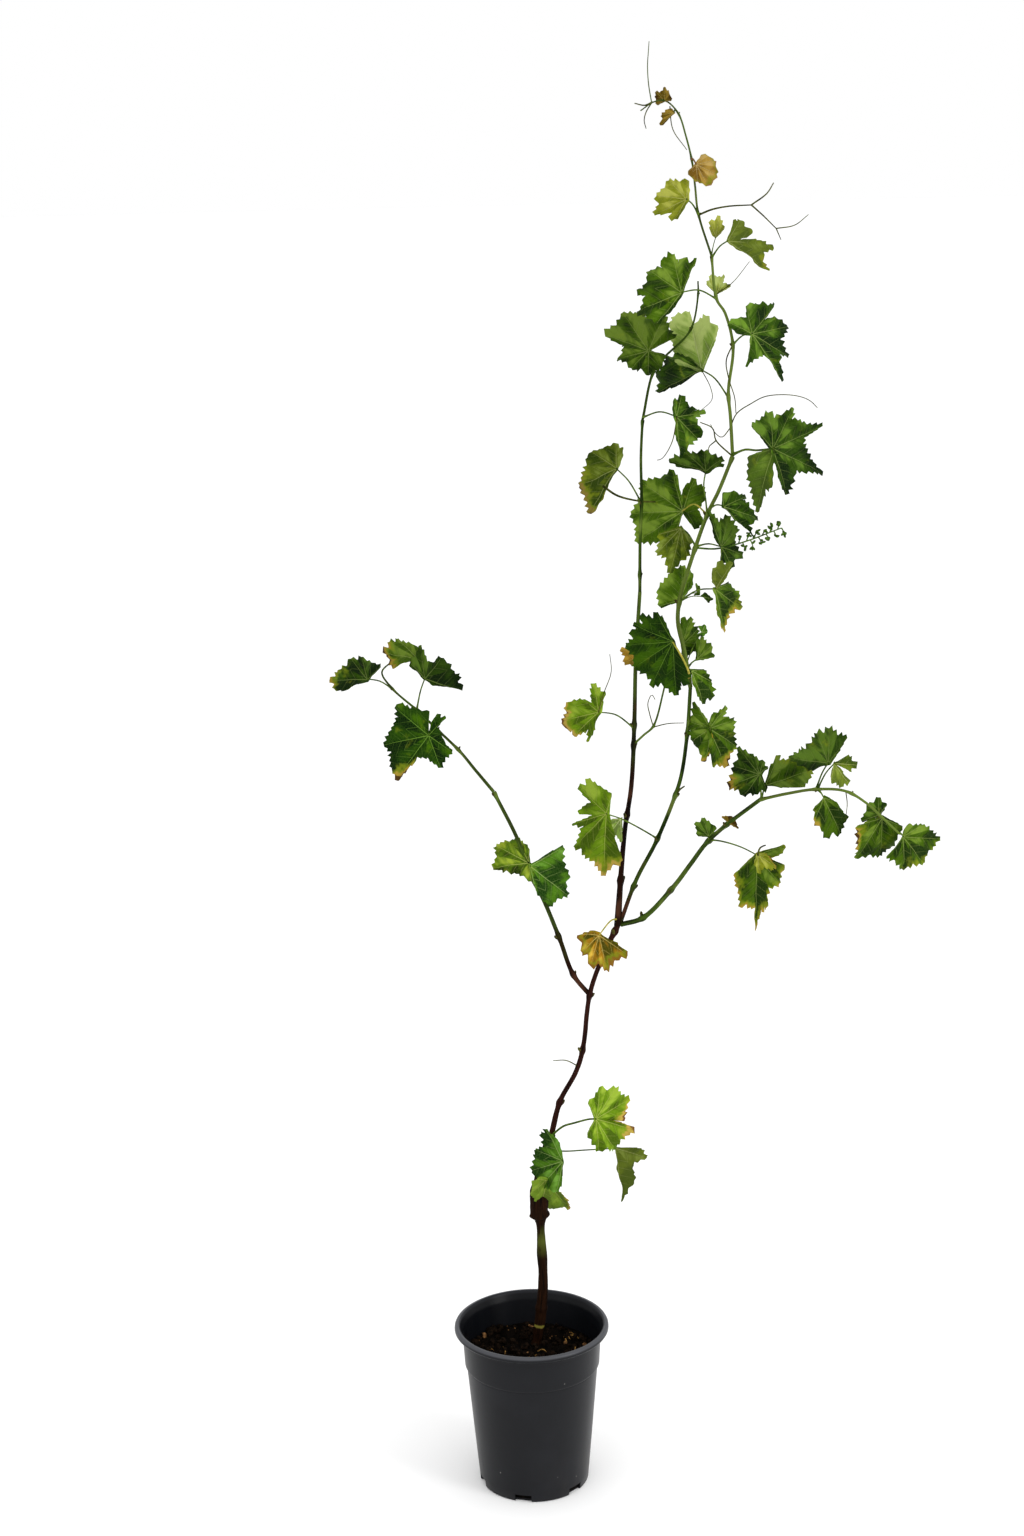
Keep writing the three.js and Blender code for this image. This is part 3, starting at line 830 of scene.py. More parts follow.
LIMBS = (
    LimbRow("rootstock", (7.6, 6, 5.6, 5.2, 4.6, 4.3),
        ((4, 22, 142), (7, 22, 160), (11, 22, 187), (14, 22, 222), (13, 22, 262), (12, 22, 300)),
        old=True, slim=1.05),
    LimbRow("graft_head", (9.6, 10.4, 9.6, 7.4, 5),
        ((12, 22, 300), (11, 22, 314), (13, 23, 345), (21, 25, 374), (26, 26, 397)),
        old=True),
    LimbRow("brown_cane", (3.8, 3.4, 3.2, 3.1, 3, 3.2, 3.8),
        ((26, 26, 397), (36, 28, 434), (54, 30, 468), (62, 32, 494), (70, 34, 554), (83, 34, 593),
         (101, 34, 632)),
        (0.15, 0.41, 0.66, 0.97), ripe=(1, 1), old=True, slim=0.82),
    LimbRow("upper_cane", (4, 2.9, 2.6, 2.5, 2.3, 2.1, 2),
        ((101, 34, 632), (105, 34, 687), (110, 34, 740), (117, 34, 786), (121, 36, 857), (123, 38, 921),
         (128, 40, 993)),
        (0.14, 0.34, 0.55, 0.61, 0.82), ripe=(1, 0.25)),
    LimbRow("middle_shoot", (2, 1.6),
        ((128, 40, 993), (129, 46, 1044), (131, 50, 1085), (131, 54, 1132), (133, 56, 1169)),
        (0.1, 0.52, 0.99), ripe=(0.25, 0.1), young=0.0, slim=0.88),
    LimbRow("middle_shoot_top", (1.6, 0.9),
        ((133, 56, 1169), (144, 58, 1216), (155, 60, 1231), (183, 62, 1259), (191, 64, 1294),
         (191, 64, 1308)),
        (0.31, 0.69, 0.92), ripe=(0.1, 0), young=0.05, slim=0.9),
    LimbRow("tall_shoot", (3, 2.6),
        ((104, 34, 635), (121, 26, 685), (142, 18, 729), (161, 10, 779), (168, 6, 804), (174, 0, 851),
         (177, -4, 900)),
        (0.16, 0.38, 0.57, 0.82), ripe=(0.55, 0.1), young=0.0, slim=0.76),
    LimbRow("tall_shoot_middle", (2.6, 2.1),
        ((177, -4, 900), (171, 0, 938), (165, 4, 967), (167, 6, 990), (180, 8, 1033), (196, 8, 1078),
         (207, 6, 1101), (221, 4, 1136)),
        (0.05, 0.36, 0.59, 0.74, 0.99), young=0.5, slim=0.9),
    LimbRow("tall_shoot_upper", (2.1, 1.5),
        ((221, 4, 1136), (219, 6, 1175), (217, 8, 1201), (222, 12, 1245), (214, 14, 1279), (206, 16, 1292),
         (201, 20, 1335)),
        (0.29, 0.55, 0.8, 0.99), young=0.62, slim=0.86),
    LimbRow("tall_shoot_tip", (1.5, 0.8),
        ((201, 20, 1335), (188, 22, 1377), (185, 22, 1403), (182, 22, 1427), (176, 20, 1451),
         (168, 14, 1473), (155, 6, 1485), (143, 0, 1484), (130, -6, 1476)),
        (0.22, 0.5, 0.74, 0.86), young=0.15, slim=0.78),
    LimbRow("arching_shoot", (2.8, 2.1),
        ((105, 34, 633), (127, 20, 644), (157, 0, 682), (176, -14, 713), (191, -28, 739), (208, -42, 760),
         (243, -66, 795)),
        (0.12, 0.33, 0.66, 0.79), ripe=(0.4, 0.05), young=0.05),
    LimbRow("arching_shoot_end", (2.1, 1.4),
        ((243, -66, 795), (269, -82, 805), (296, -98, 813), (324, -112, 814), (344, -120, 803),
         (358, -124, 790), (376, -128, 773)),
        (0.01, 0.39, 0.62, 0.84), ripe=(0.0, 0.36), young=0.55, slim=0.8),
    LimbRow("left_shoot", (2.6, 2),
        ((71, 34, 553), (53, 40, 575), (39, 50, 613), (22, 58, 656), (9, 64, 681), (-4, 72, 719),
         (-29, 84, 770)),
        (0.12, 0.3, 0.64, 0.99), ripe=(0.75, 0.1), young=0.12),
    LimbRow("left_shoot_end", (2, 0.9),
        ((-29, 84, 770), (-49, 90, 794), (-64, 96, 812), (-88, 104, 835), (-110, 110, 856),
         (-136, 116, 879), (-147, 118, 897), (-137, 118, 908)),
        (0.31, 0.47, 0.63, 0.81), ripe=(0.1, 0), young=0.12, slim=0.94),
    LimbRow("side_shoot", (1.3, 0.9),
        ((120, 36, 831), (130, 26, 843), (140, 20, 854), (150, 16, 890), (155, 14, 915)),
        (0.35, 0.95), young=0.1),
    LimbRow("top_tendril", (0.8, 0.5),
        ((141, 0, 1484), (138, -4, 1501), (137, -6, 1518), (138, -4, 1531), (139, 0, 1541)),
        young=0.25, slim=0.72),
)


# The rings and waists of the old wood: height, half width and size as a share of the radius.
RINGS: dict[str, tuple[Point, ...]] = {
    "rootstock": ((153, 7, -0.26), (193, 3.2, 0.18), (258, 12, 0.14), (285, 6, -0.08), (302, 6, 0.62)),
    "graft_head": ((304, 2.4, 0.22), (298.5, 2.2, -0.2), (352, 10, -0.1)),
}


@dataclass
class Stems:
    """The old wood, the canes and the green shoots."""

    # The swellings, and the meshes of young, old and thin limbs.
    swell: float = 0.42
    swell_reach: float = 0.0038
    most_swell: float = 1.1
    young_sides: int = 12
    old_sides: int = 28
    tendril_sides: int = 8
    young_step: float = 0.0025
    old_step: float = 0.0016
    map_strips: int = 6
    ribs: int = 5
    rib_height: float = 0.04
    # The relief of old wood, and the twist of the graft.
    bark_depth: float = 0.16
    smoother: float = 0.55
    rough_pitch: float = 16
    knot_pitch: float = 55
    twist: float = 0.07
    twist_pitch: float = 14
    graft_trim: float = 0.1
    # The greener place under the graft and the pale scar near the soil, on the front.
    moss_height: float = 274
    moss_reach: float = 20
    scar_height: float = 172
    scar_reach: float = 6
    scar_strength: float = 0.85
    moss_edge: float = 2
    scar_edge: float = 1.6
    # The buds.
    bud_sway: float = 0.5
    bud_rise: float = 1.1
    bud_shape: Point = (0.48, 0.48, 1.1)
    # The curve of each limb, by name, once it is built.
    bends: dict[str, Bend] = field(default_factory=dict)

    def build(self) -> None:
        """Builds each limb in place of its node, and the buds at its swellings."""
        shoot = StemFinish().dress()
        bark = BarkFinish().dress()
        cane = BarkFinish("red_cane_bark", bark="2c1510", ridge="5a3428").dress()
        for row in LIMBS:
            self.bends[row.name] = row.bend()
            old = cane if row.name == "brown_cane" else bark
            self._limb(row, old if row.old else shoot)
        self._buds()

    def _radius(self, row: LimbRow, bend: Bend, share: float) -> float:
        """Gives a limb's radius with its swellings, in metres.

        Args:
            row: The limb.
            bend: Its curve.
            share: The share of its length.

        Returns:
            The radius.
        """
        place = bend.find(share)[1] * (len(row.radii) - 1)
        first = min(int(place), len(row.radii) - 2)
        even = row.radii[first] + (row.radii[first + 1] - row.radii[first]) * (place - first)
        gaps = [(share - spot) * bend.length / self.swell_reach for spot in row.swellings]
        bump = sum(math.exp(-(gap**2)) for gap in gaps)
        return even * row.slim * MM * (1 + self.swell * min(bump, self.most_swell))

    def _wood(self, row: LimbRow, point: Vector, angle: float) -> float:
        """Works out how much the relief of old wood widens it at a place.

        Args:
            row: The limb.
            point: The place on its curve.
            angle: The angle round it.

        Returns:
            The factor for its radius.
        """
        aside, ahead = math.cos(angle), math.sin(angle)
        around = Vector((aside, ahead, point.z * self.rough_pitch))
        rough = noise.fractal(around * 2.2, 0.9, 2.1, 4)
        knots = noise.noise(Vector((aside * 0.8, ahead * 0.8, point.z * self.knot_pitch)))
        deep = self.bark_depth * (1.0 if row.name == "graft_head" else self.smoother)
        widen = 1 + deep * rough + deep * 0.9 * knots
        height = point.z / MM
        for centre, half, size in RINGS.get(row.name, ()):
            widen += size * math.exp(-(((height - centre) / half) ** 2))
        if row.name == "graft_head":
            widen += self.twist * math.sin(angle * 2 + height / self.twist_pitch) - self.graft_trim
        return widen

    def _limb(self, row: LimbRow, material: bpy.types.Material) -> None:
        """Builds one limb.

        Args:
            row: The limb.
            material: Its material.
        """
        bend = self.bends[row.name]
        mesh = bmesh.new()
        grain = mesh.verts.layers.float_vector.new("grain")
        names = ("ripe", "young", "moss", "scar")
        ripe, young, moss, scar = [mesh.verts.layers.float.new(name) for name in names]
        mesh.loops.layers.uv.new(BAKE_MAP)

        def radius(share: float, angle: float) -> float:
            """Gives the limb's radius with its ribs or its relief.

            Args:
                share: The share of the curve's length.
                angle: The angle round the curve.

            Returns:
                The radius, in metres.
            """
            base = self._radius(row, bend, share)
            if not row.old:
                return base * (1 + self.rib_height * math.sin(self.ribs * angle))
            return base * self._wood(row, bend.find(share)[0], angle)

        def dress(vert: bmesh.types.BMVert, share: float, angle: float) -> None:
            """Sets the attributes that the material reads.

            Args:
                vert: The corner.
                share: The share of the curve's length.
                angle: The angle round the curve.
            """
            reach = self._radius(row, bend, share)
            around = (math.cos(angle) * reach, math.sin(angle) * reach)
            vert[grain] = Vector((*around, share * bend.length + len(row.name)))
            vert[ripe] = row.ripe[0] + (row.ripe[1] - row.ripe[0]) * share
            vert[young] = row.young
            if row.name == "rootstock":
                centre = bend.find(share)[0]
                height = centre.z / MM
                front = (centre.y - vert.co.y) / reach
                green = 1 - abs(height - self.moss_height) / self.moss_reach
                pale = self.scar_strength - abs(height - self.scar_height) / self.scar_reach
                vert[moss] = max(0.0, green) * max(0.0, min(1.0, front * self.moss_edge))
                vert[scar] = max(0.0, pale) * max(0.0, min(1.0, front * self.scar_edge))

        sides = self.old_sides if row.old else self.young_sides
        step = self.old_step if row.old else self.young_step
        if row.name == "top_tendril":
            sides = self.tendril_sides
        grow_tube(mesh, bend, radius, sides, step, dress=dress, strips=self.map_strips)
        close_up(mesh)
        slot = Slot.BARK if row.old else Slot.SHOOT
        keep(mesh, f"{row.name}_skin", [material], slot, [row.name])

    def _buds(self) -> None:
        """Builds the pointed buds, one at each swelling."""
        mesh = bmesh.new()
        deal = random.Random(SEED)
        for row in LIMBS:
            bend = self.bends[row.name]
            for order, share in enumerate(row.swellings):
                centre, across, up = bend.frames([share])[0]
                angle = math.pi * order + deal.uniform(-self.bud_sway, self.bud_sway)
                out = across * math.cos(angle) + up * math.sin(angle)
                size = self._radius(row, bend, share)
                point = (out + Vector((0, 0, self.bud_rise))).normalized()
                turn = Vector((0, 0, 1)).rotation_difference(point).to_matrix().to_4x4()
                place = Matrix.Translation(centre + out * size) @ turn
                stretch = Matrix.Diagonal((*(size * side for side in self.bud_shape), 1))
                bmesh.ops.create_icosphere(mesh, subdivisions=2, radius=1, matrix=place @ stretch)
        close_up(mesh)
        finish = PlainGrowth("brown_buds", "22200e", "4e4c20", 0.6, 400)
        keep(mesh, "buds", [finish.dress()], Slot.BARK)


# Leaves


@dataclass(frozen=True)
class Burn:
    """How far a blade is scorched at its rim, all round or near one direction."""

    strength: float = 0.0
    side: float | None = None
    spread: float = 48


@dataclass(frozen=True)
class Blade:
    """One flat side of a leaf, as seen from the front, in millimetres and degrees."""

    base: Point
    lean: tuple[float, float]
    lobes: Lobes
    shows_under: bool = False
    burn: Burn = Burn()
    # The direction of the blade's painted lit side, in degrees.
    painted_lit: float | None = None
    bay: float = 0.13
    calm: float = 1.0
    # How strongly the painted lit side shows across the blade.
    swing: float = 0.3
    cuts: Lobes = ()


@dataclass(frozen=True)
class LeafRow:
    """A leaf: the limb that it grows on and where, its looks, its blade, stalk and fold."""

    name: str
    on: str
    at: float
    slot: Slot
    tone: LeafTone
    shade: float
    blade: Blade
    via: tuple[Point, ...] = ()
    fold: Blade | None = None
    fold_tone: LeafTone | None = None


LEAVES = (
    LeafRow("foot_leaf_1", "graft_head", 0.89, Slot.DEEP, LeafTone.BLUE_GREEN, 1.05,
        Blade((37, -14, 382), (-0.6, 0.2), ((-101, 33), (-127, 40), (-153, 35), (-194, 27), (-229, 32),
            (-241, 34), (-253, 25)), painted_lit=-20, bay=0.04, cuts=((-212, 22),)),
        fold=Blade((19, -8, 357), (0.2, -0.7), ((-52, 22), (-66, 64), (-83, 52), (-96, 46), (-134, 23),
            (-195, 15)), shows_under=True, burn=Burn(0.6, -50, 26)), fold_tone=LeafTone.BRIGHT),
    LeafRow("foot_leaf_2", "graft_head", 0.81, Slot.OLIVE, LeafTone.OLIVE, 0.76,
        Blade((96, 14, 384), (0.9, 0.3), ((-83, 37), (-82, 59), (-65, 42), (-33, 39), (-22, 29)),
            shows_under=True, burn=Burn(0.25, 0), painted_lit=70, swing=0.5, cuts=((-47, 30),)),
        via=((42, 23, 378), (60, 20, 380))),
    LeafRow("foot_leaf_3", "graft_head", 0.98, Slot.FRESH, LeafTone.BRIGHT, 1.21,
        Blade((74, -14, 430), (0.5, 0.4), ((-132, 16), (-88, 30), (-62, 37), (-24, 47), (20, 38), (54, 32),
            (81, 30), (115, 19)), burn=Burn(0.95, -12, 30), cuts=((-16, 32), (-21, 18), (3, 30), (95, 22))),
        via=((39, 14, 411), (50, 5, 418), (67, -9, 428))),
    LeafRow("cane_leaf_1", "upper_cane", 0.02, Slot.GOLDEN, LeafTone.GOLDEN, 1.0,
        Blade((80, 2, 632), (0, 1.1), ((-29, 32), (-78, 27), (-112, 26), (-143, 22), (-183, 22)),
            burn=Burn(0.55)), via=((94, 24, 641),)),
    LeafRow("cane_leaf_2", "upper_cane", 0.6, Slot.GOLDEN, LeafTone.BRIGHT, 1.08,
        Blade((82, 4, 874), (-0.5, 0.3), ((-112, 32), (-136, 37), (-162, 39), (-185, 33), (-216, 17),
            (-261, 27), (-289, 19)), burn=Burn(0.8, 200, 40), cuts=((-121, 22), (-152, 41), (-144, 35),
            (-198, 29), (-234, 11), (-252, 20)))),
    LeafRow("left_leaf_1", "left_shoot", 0.66, Slot.PALE, LeafTone.YOUNG, 1.06,
        Blade((7, 58, 697), (-0.5, 0.9), ((-85, 14), (-149, 17), (-170, 39), (-199, 37), (-242, 24),
            (-271, 12)), burn=Burn(0.3, 170))),
    LeafRow("left_leaf_2", "left_shoot", 0.62, Slot.MID, LeafTone.BLUE_GREEN, 1.3,
        Blade((9, 52, 695), (0.5, 0.5), ((-77, 24), (-63, 46), (-40, 52), (-18, 42), (20, 39)))),
    LeafRow("left_leaf_3", "left_shoot_end", 0.45, Slot.DEEP, LeafTone.NIGHT, 1.3,
        Blade((-98, 88, 833), (-0.4, 0.4), ((62, 24), (45, 26), (-30, 29), (-67, 33), (-128, 59),
            (-165, 49), (-217, 43), (-276, 23)), burn=Burn(1.3, -127, 8), painted_lit=60, cuts=((-80, 27),
            (-90, 23), (-118, 26), (-140, 55), (-155, 46), (-184, 38), (-209, 34), (-227, 42), (-236, 31),
            (-257, 25), (35, 14), (-5, 17), (-22, 22)))),
    LeafRow("left_leaf_4", "left_shoot_end", 0.63, Slot.DEEP, LeafTone.DEEP, 0.76,
        Blade((-100, 96, 894), (0.1, 1.2), ((138, 20), (102, 25), (40, 21), (0, 35), (-15, 40)),
            cuts=((78, 12), (52, 15), (25, 26))),
        fold=Blade((-107, 116, 911), (0.25, 1.2), ((86, 8), (139, 29), (152, 34), (165, 38), (184, 27)),
            burn=Burn(1.0, 174, 20), cuts=((122, 15),)), fold_tone=LeafTone.GREEN),
    LeafRow("left_leaf_5", "left_shoot_end", 0.8, Slot.DEEP, LeafTone.DEEP, 0.91,
        Blade((-164, 132, 887), (-0.3, 1.3), ((-165, 36), (-178, 41), (-189, 33), (-222, 23), (-250, 20),
            (-323, 17)), burn=Burn(0.5, 178, 25))),
    LeafRow("arch_leaf_1", "arching_shoot", 0.67, Slot.MID, LeafTone.GREEN, 1.0,
        Blade((241, -62, 735), (0.2, 0.2), ((-145, 28), (-110, 53), (-99, 51), (-92, 76), (-87, 56),
            (-81, 53), (-53, 37), (-26, 31), (14, 30)), burn=Burn(0.42), cuts=((2, 27), (-8, 18), (-18, 14),
            (-72, 36), (-121, 38), (-94, 53), (-90, 55))), via=((207, -39, 744), (225, -51, 741)),
        fold=Blade((241, -66, 737), (-0.2, 0.6), ((8, 7), (-13, 12), (-32, 20), (-44, 18), (-88, 17),
            (-116, 8)), burn=Burn(1.0, -12, 24), bay=0.05, cuts=((-64, 13),)), fold_tone=LeafTone.LIME),
    LeafRow("arch_leaf_2", "arching_shoot_end", 0.01, Slot.MID, LeafTone.DEEP, 0.76,
        Blade((240, -86, 827), (-0.4, 0.8), ((-64, 14), (-108, 17), (-130, 25), (-160, 32), (-193, 24),
            (-229, 27), (-257, 14), (-292, 12), (-318, 10)), burn=Burn(0.8, -160, 14))),
    LeafRow("arch_leaf_3", "arching_shoot_end", 0.01, Slot.DEEP, LeafTone.GREEN, 0.76,
        Blade((250, -54, 807), (0.2, 1), ((67, 15), (56, 28), (31, 38), (12, 51), (-9, 36)),
            burn=Burn(0.3, 30), cuts=((50, 27), (3, 46)))),
    LeafRow("arch_leaf_4", "arching_shoot_end", 0.39, Slot.MID, LeafTone.DEEP, 0.76,
        Blade((311, -76, 835), (0.2, 1.4), ((-167, 18), (-189, 39), (-203, 27), (-250, 23), (-282, 26),
            (-323, 26)), burn=Burn(0.25, 200))),
    LeafRow("arch_leaf_5", "arching_shoot_end", 0.4, Slot.OLIVE, LeafTone.OLIVE, 1.3,
        Blade((312, -112, 843), (0.6, 0.8), ((-29, 18), (-10, 25), (10, 16))),
        fold=Blade((312, -112, 843), (0.5, 0.3), ((-53, 26), (-70, 24), (-100, 17)), shows_under=True),
        fold_tone=LeafTone.OLIVE),
    LeafRow("arch_leaf_6", "arching_shoot_end", 0.4, Slot.MID, LeafTone.GREEN, 1.0,
        Blade((303, -106, 806), (0.4, 0.3), ((-141, 12), (-115, 22), (-85, 37), (-64, 39), (-45, 32),
            (-19, 11)), burn=Burn(0.7, -112, 14))),
    LeafRow("arch_leaf_7", "arching_shoot_end", 0.84, Slot.DEEP, LeafTone.DEEP, 1.11,
        Blade((357, -116, 790), (-0.3, 1), ((-163, 18), (-224, 12), (-273, 14), (-313, 12)))),
    LeafRow("arch_leaf_8", "arching_shoot_end", 0.86, Slot.MID, LeafTone.GREEN, 0.91,
        Blade((360, -119, 787), (0.3, -0.2), ((-30, 25), (-69, 36), (-88, 42), (-118, 49), (-164, 24)),
            burn=Burn(1.15, -145, 17))),
    LeafRow("arch_leaf_9", "arching_shoot_end", 0.99, Slot.FRESH, LeafTone.GREEN, 1.0,
        Blade((381, -121, 768), (0.4, 0.1), ((74, 12), (28, 20), (-11, 41), (-54, 35), (-91, 31),
            (-135, 24)), burn=Burn(0.35, -60))),
    LeafRow("tall_leaf_1", "tall_shoot", 0.38, Slot.FRESH, LeafTone.BRIGHT, 1.0,
        Blade((88, -16, 770), (-0.4, 0.3), ((-75, 47), (-95, 61), (-119, 48), (-134, 49), (-160, 38),
            (-179, 28), (-221, 37), (-241, 37), (-286, 19)), burn=Burn(0.6, -95, 30), cuts=((-149, 28),
            (-170, 16), (-197, 24), (-212, 19))), via=((126, 7, 746), (105, -6, 761)),
        fold=Blade((104, -8, 762), (0.6, 0.2), ((-88, 23), (-131, 16), (-181, 15)), shows_under=True),
        fold_tone=LeafTone.PALE),
    LeafRow("tall_leaf_2", "tall_shoot", 0.82, Slot.MID, LeafTone.GREEN, 1.05,
        Blade((196, -18, 859), (0.6, 0.3), ((-85, 37), (-66, 43), (-36, 36), (10, 24), (46, 24), (74, 13)),
            burn=Burn(0.8, -60, 22), cuts=((36, 17),)), via=((187, -17, 861),),
        fold=Blade((196, -18, 859), (-0.9, 0.2), ((-100, 34), (-138, 24), (-192, 18), (-242, 27)),
            burn=Burn(0.85, -90, 20)), fold_tone=LeafTone.GREEN),
    LeafRow("tall_leaf_3", "tall_shoot_middle", 0.04, Slot.DEEP, LeafTone.NIGHT, 0.86,
        Blade((157, -34, 954), (-0.3, -0.25), ((-66, 38), (-74, 49), (-87, 59), (-113, 55), (-142, 46),
            (-173, 46), (-193, 42), (-204, 42), (-221, 41), (-240, 33), (-248, 26)), painted_lit=190, bay=0.04,
            cuts=((-80, 46), (-95, 53), (-104, 49), (-117, 49), (-126, 46), (-156, 42), (-183, 40),
            (-199, 37), (-212, 36), (-230, 32))), via=((172, -36, 926), (165, -38, 941))),
    LeafRow("tall_leaf_4", "tall_shoot_middle", 0.06, Slot.MID, LeafTone.GREEN, 1.3,
        Blade((178, -14, 920), (0.9, 0.4), ((-79, 23), (-69, 36), (-55, 36), (-39, 23), (-13, 10)))),
    LeafRow("tall_leaf_5", "tall_shoot_middle", 0.08, Slot.MID, LeafTone.GREEN, 0.86,
        Blade((185, 4, 928), (0.6, 0.7), ((-4, 17), (33, 18), (71, 20), (86, 17)))),
    LeafRow("tall_leaf_6", "tall_shoot_middle", 0.38, Slot.MID, LeafTone.GREEN, 1.3,
        Blade((169, 22, 987), (0.4, 0.4), ((42, 17), (61, 29), (81, 33), (101, 30), (190, 21)), bay=0.0)),
    LeafRow("tall_leaf_7", "tall_shoot_middle", 0.36, Slot.FRESH, LeafTone.GREEN, 1.0,
        Blade((201, -30, 1007), (0.9, 0.2), ((-79, 40), (-74, 46), (-40, 38), (-19, 29), (7, 18)),
            burn=Burn(0.65, -60, 30), cuts=((-68, 37), (-60, 33), (-48, 33))),
        fold=Blade((201, -30, 1007), (-0.9, -0.3), ((110, 8), (87, 28), (66, 29), (53, 10)),
            shows_under=True), fold_tone=LeafTone.OLIVE),
    LeafRow("tall_leaf_8", "tall_shoot_middle", 0.6, Slot.OLIVE, LeafTone.OLIVE, 1.0,
        Blade((171, 34, 1060), (0.4, 0.6), ((-41, 16), (-79, 26), (-107, 41), (-140, 31), (-171, 22)),
            burn=Burn(0.2))),
    LeafRow("tall_leaf_9", "tall_shoot_middle", 0.6, Slot.DEEP, LeafTone.DEEP, 0.85,
        Blade((209, -8, 1046), (0.8, 0.3), ((-91, 13), (-60, 24), (-26, 24), (44, 21), (74, 29), (106, 38)),
            painted_lit=60, cuts=((93, 25), (18, 14), (0, 13)))),
    LeafRow("tall_leaf_10", "tall_shoot_middle", 0.74, Slot.MID, LeafTone.GREEN, 1.17,
        Blade((173, 44, 1076), (-0.5, 0.4), ((-111, 31), (-146, 57), (-176, 54), (-213, 50), (-254, 42),
            (-288, 34), (-308, 31)), painted_lit=180, cuts=((-262, 33), (-265, 15), (-274, 24), (-196, 43),
            (-329, 28), (-354, 16), (-384, 23), (-416, 22))), via=((184, 28, 1085),)),
    LeafRow("tall_leaf_11", "tall_shoot_middle", 0.77, Slot.DEEP, LeafTone.DEEP, 1.3,
        Blade((211, -12, 1088), (0.5, 0.9), ((-47, 17), (-46, 40), (-19, 38), (17, 26), (91, 11)), painted_lit=100,
            cuts=((11, 21), (-5, 28), (-27, 35), (-39, 31), (28, 18), (58, 14)))),
    LeafRow("tall_leaf_12", "tall_shoot_middle", 0.74, Slot.OLIVE, LeafTone.DEEP, 0.77,
        Blade((194, 6, 1122), (-0.4, 0.9), ((16, 17), (35, 20), (92, 17), (138, 25), (166, 36))),
        via=((194, 7, 1092), (192, 7, 1107))),
    LeafRow("tall_leaf_13", "tall_shoot_upper", 0.01, Slot.DEEP, LeafTone.DEEP, 1.0,
        Blade((259, -26, 1147), (0.5, 0.5), ((-72, 44), (-26, 60), (18, 57), (57, 44), (92, 34), (132, 31)),
            painted_lit=110, cuts=((-84, 22), (-80, 36), (-62, 40), (-43, 33), (-34, 44), (-23, 46), (-11, 38),
            (4, 33), (13, 36), (29, 43), (50, 35), (70, 34), (82, 30), (112, 31), (150, 13))),
        via=((233, -6, 1144), (243, -14, 1144)),
        fold=Blade((259, -26, 1147), (-0.7, 0.3), ((-94, 21), (-95, 38), (-105, 46), (-108, 64),
            (-156, 21)), shows_under=True), fold_tone=LeafTone.GREEN),
    LeafRow("tall_leaf_14", "tall_shoot_upper", 0.29, Slot.PALE, LeafTone.PALE, 1.09,
        Blade((193, 46, 1220), (-0.3, 0.6), ((167, 23), (124, 52), (101, 58), (83, 52), (65, 43), (61, 27)),
            shows_under=True, painted_lit=95, calm=0.5, swing=0.5, cuts=((98, 57), (97, 44), (92, 49), (115, 59),
            (131, 45), (137, 33), (151, 29), (76, 47))),
        fold=Blade((193, 46, 1220), (-0.6, -0.8), ((-146, 51), (-167, 46), (-196, 37), (-211, 29),
            (-223, 15))), fold_tone=LeafTone.DEEP),
    LeafRow("tall_leaf_15", "tall_shoot_upper", 0.55, Slot.DEEP, LeafTone.DEEP, 1.3,
        Blade((239, -16, 1260), (0.6, 0.6), ((-102, 27), (-54, 54), (-29, 44), (8, 39), (44, 41), (98, 26),
            (149, 24)), painted_lit=150, cuts=((-84, 23), (-58, 23), (-47, 39), (-38, 35), (-12, 31), (25, 31),
            (41, 21), (54, 33), (70, 30), (108, 17), (130, 21), (163, 21), (179, 15)))),
    LeafRow("tall_leaf_16", "tall_shoot_upper", 0.79, Slot.PALE, LeafTone.PALE_YOUNG, 1.0,
        Blade((207, 28, 1297), (0.3, 0.9), ((137, 13), (105, 18), (59, 21), (22, 15)), cuts=((54, 14),))),
    LeafRow("tall_leaf_17", "tall_shoot_upper", 0.79, Slot.FRESH, LeafTone.GREEN, 1.22,
        Blade((168, -20, 1302), (-0.5, 0.7), ((-133, 36), (-160, 47), (-181, 42), (-216, 38), (-258, 37),
            (-294, 36)), painted_lit=40, cuts=((-285, 31), (-273, 36), (-267, 31), (-238, 37), (-234, 31),
            (-198, 35), (-176, 35), (-165, 39), (-140, 39), (-126, 19)))),
    LeafRow("tall_leaf_18", "tall_shoot_upper", 0.99, Slot.FRESH, LeafTone.OLIVE, 0.94,
        Blade((216, 2, 1350), (0.7, 0.7), ((66, 21), (52, 25), (16, 26), (-5, 37), (-11, 48), (-33, 52),
            (-36, 24)), shows_under=True, burn=Burn(0.3, -35), painted_lit=112, swing=0.8, cuts=((7, 22), (5, 14),
            (1, 14), (-2, 25), (-18, 40), (-27, 44)))),
    LeafRow("tall_leaf_19", "tall_shoot_tip", 0.22, Slot.GOLDEN, LeafTone.LIME, 1.0,
        Blade((175, 6, 1391), (-0.6, 0.5), ((-120, 21), (-157, 33), (-187, 27), (-229, 21), (-280, 16)),
            burn=Burn(0.35, 200), cuts=((-148, 24), (-141, 16), (-137, 25)))),
    LeafRow("tall_leaf_20", "tall_shoot_tip", 0.5, Slot.GOLDEN, LeafTone.ROSY, 0.94,
        Blade((185, 8, 1424), (-0.5, 0.4), ((-140, 10), (-88, 15), (-63, 21), (-26, 20), (14, 16),
            (56, 11)), burn=Burn(0.4), bay=-0.06)),
    LeafRow("middle_leaf_1", "middle_shoot", 0.52, Slot.OLIVE, LeafTone.OLIVE, 1.0,
        Blade((106, 72, 1118), (-0.9, 0.4), ((-125, 56), (-152, 42), (-211, 26), (-266, 24), (-289, 21)),
            burn=Burn(0.7, -140, 34), painted_lit=60, swing=0.45)),
    LeafRow("middle_leaf_2", "middle_shoot_top", 0.02, Slot.DEEP, LeafTone.DEEP, 1.3,
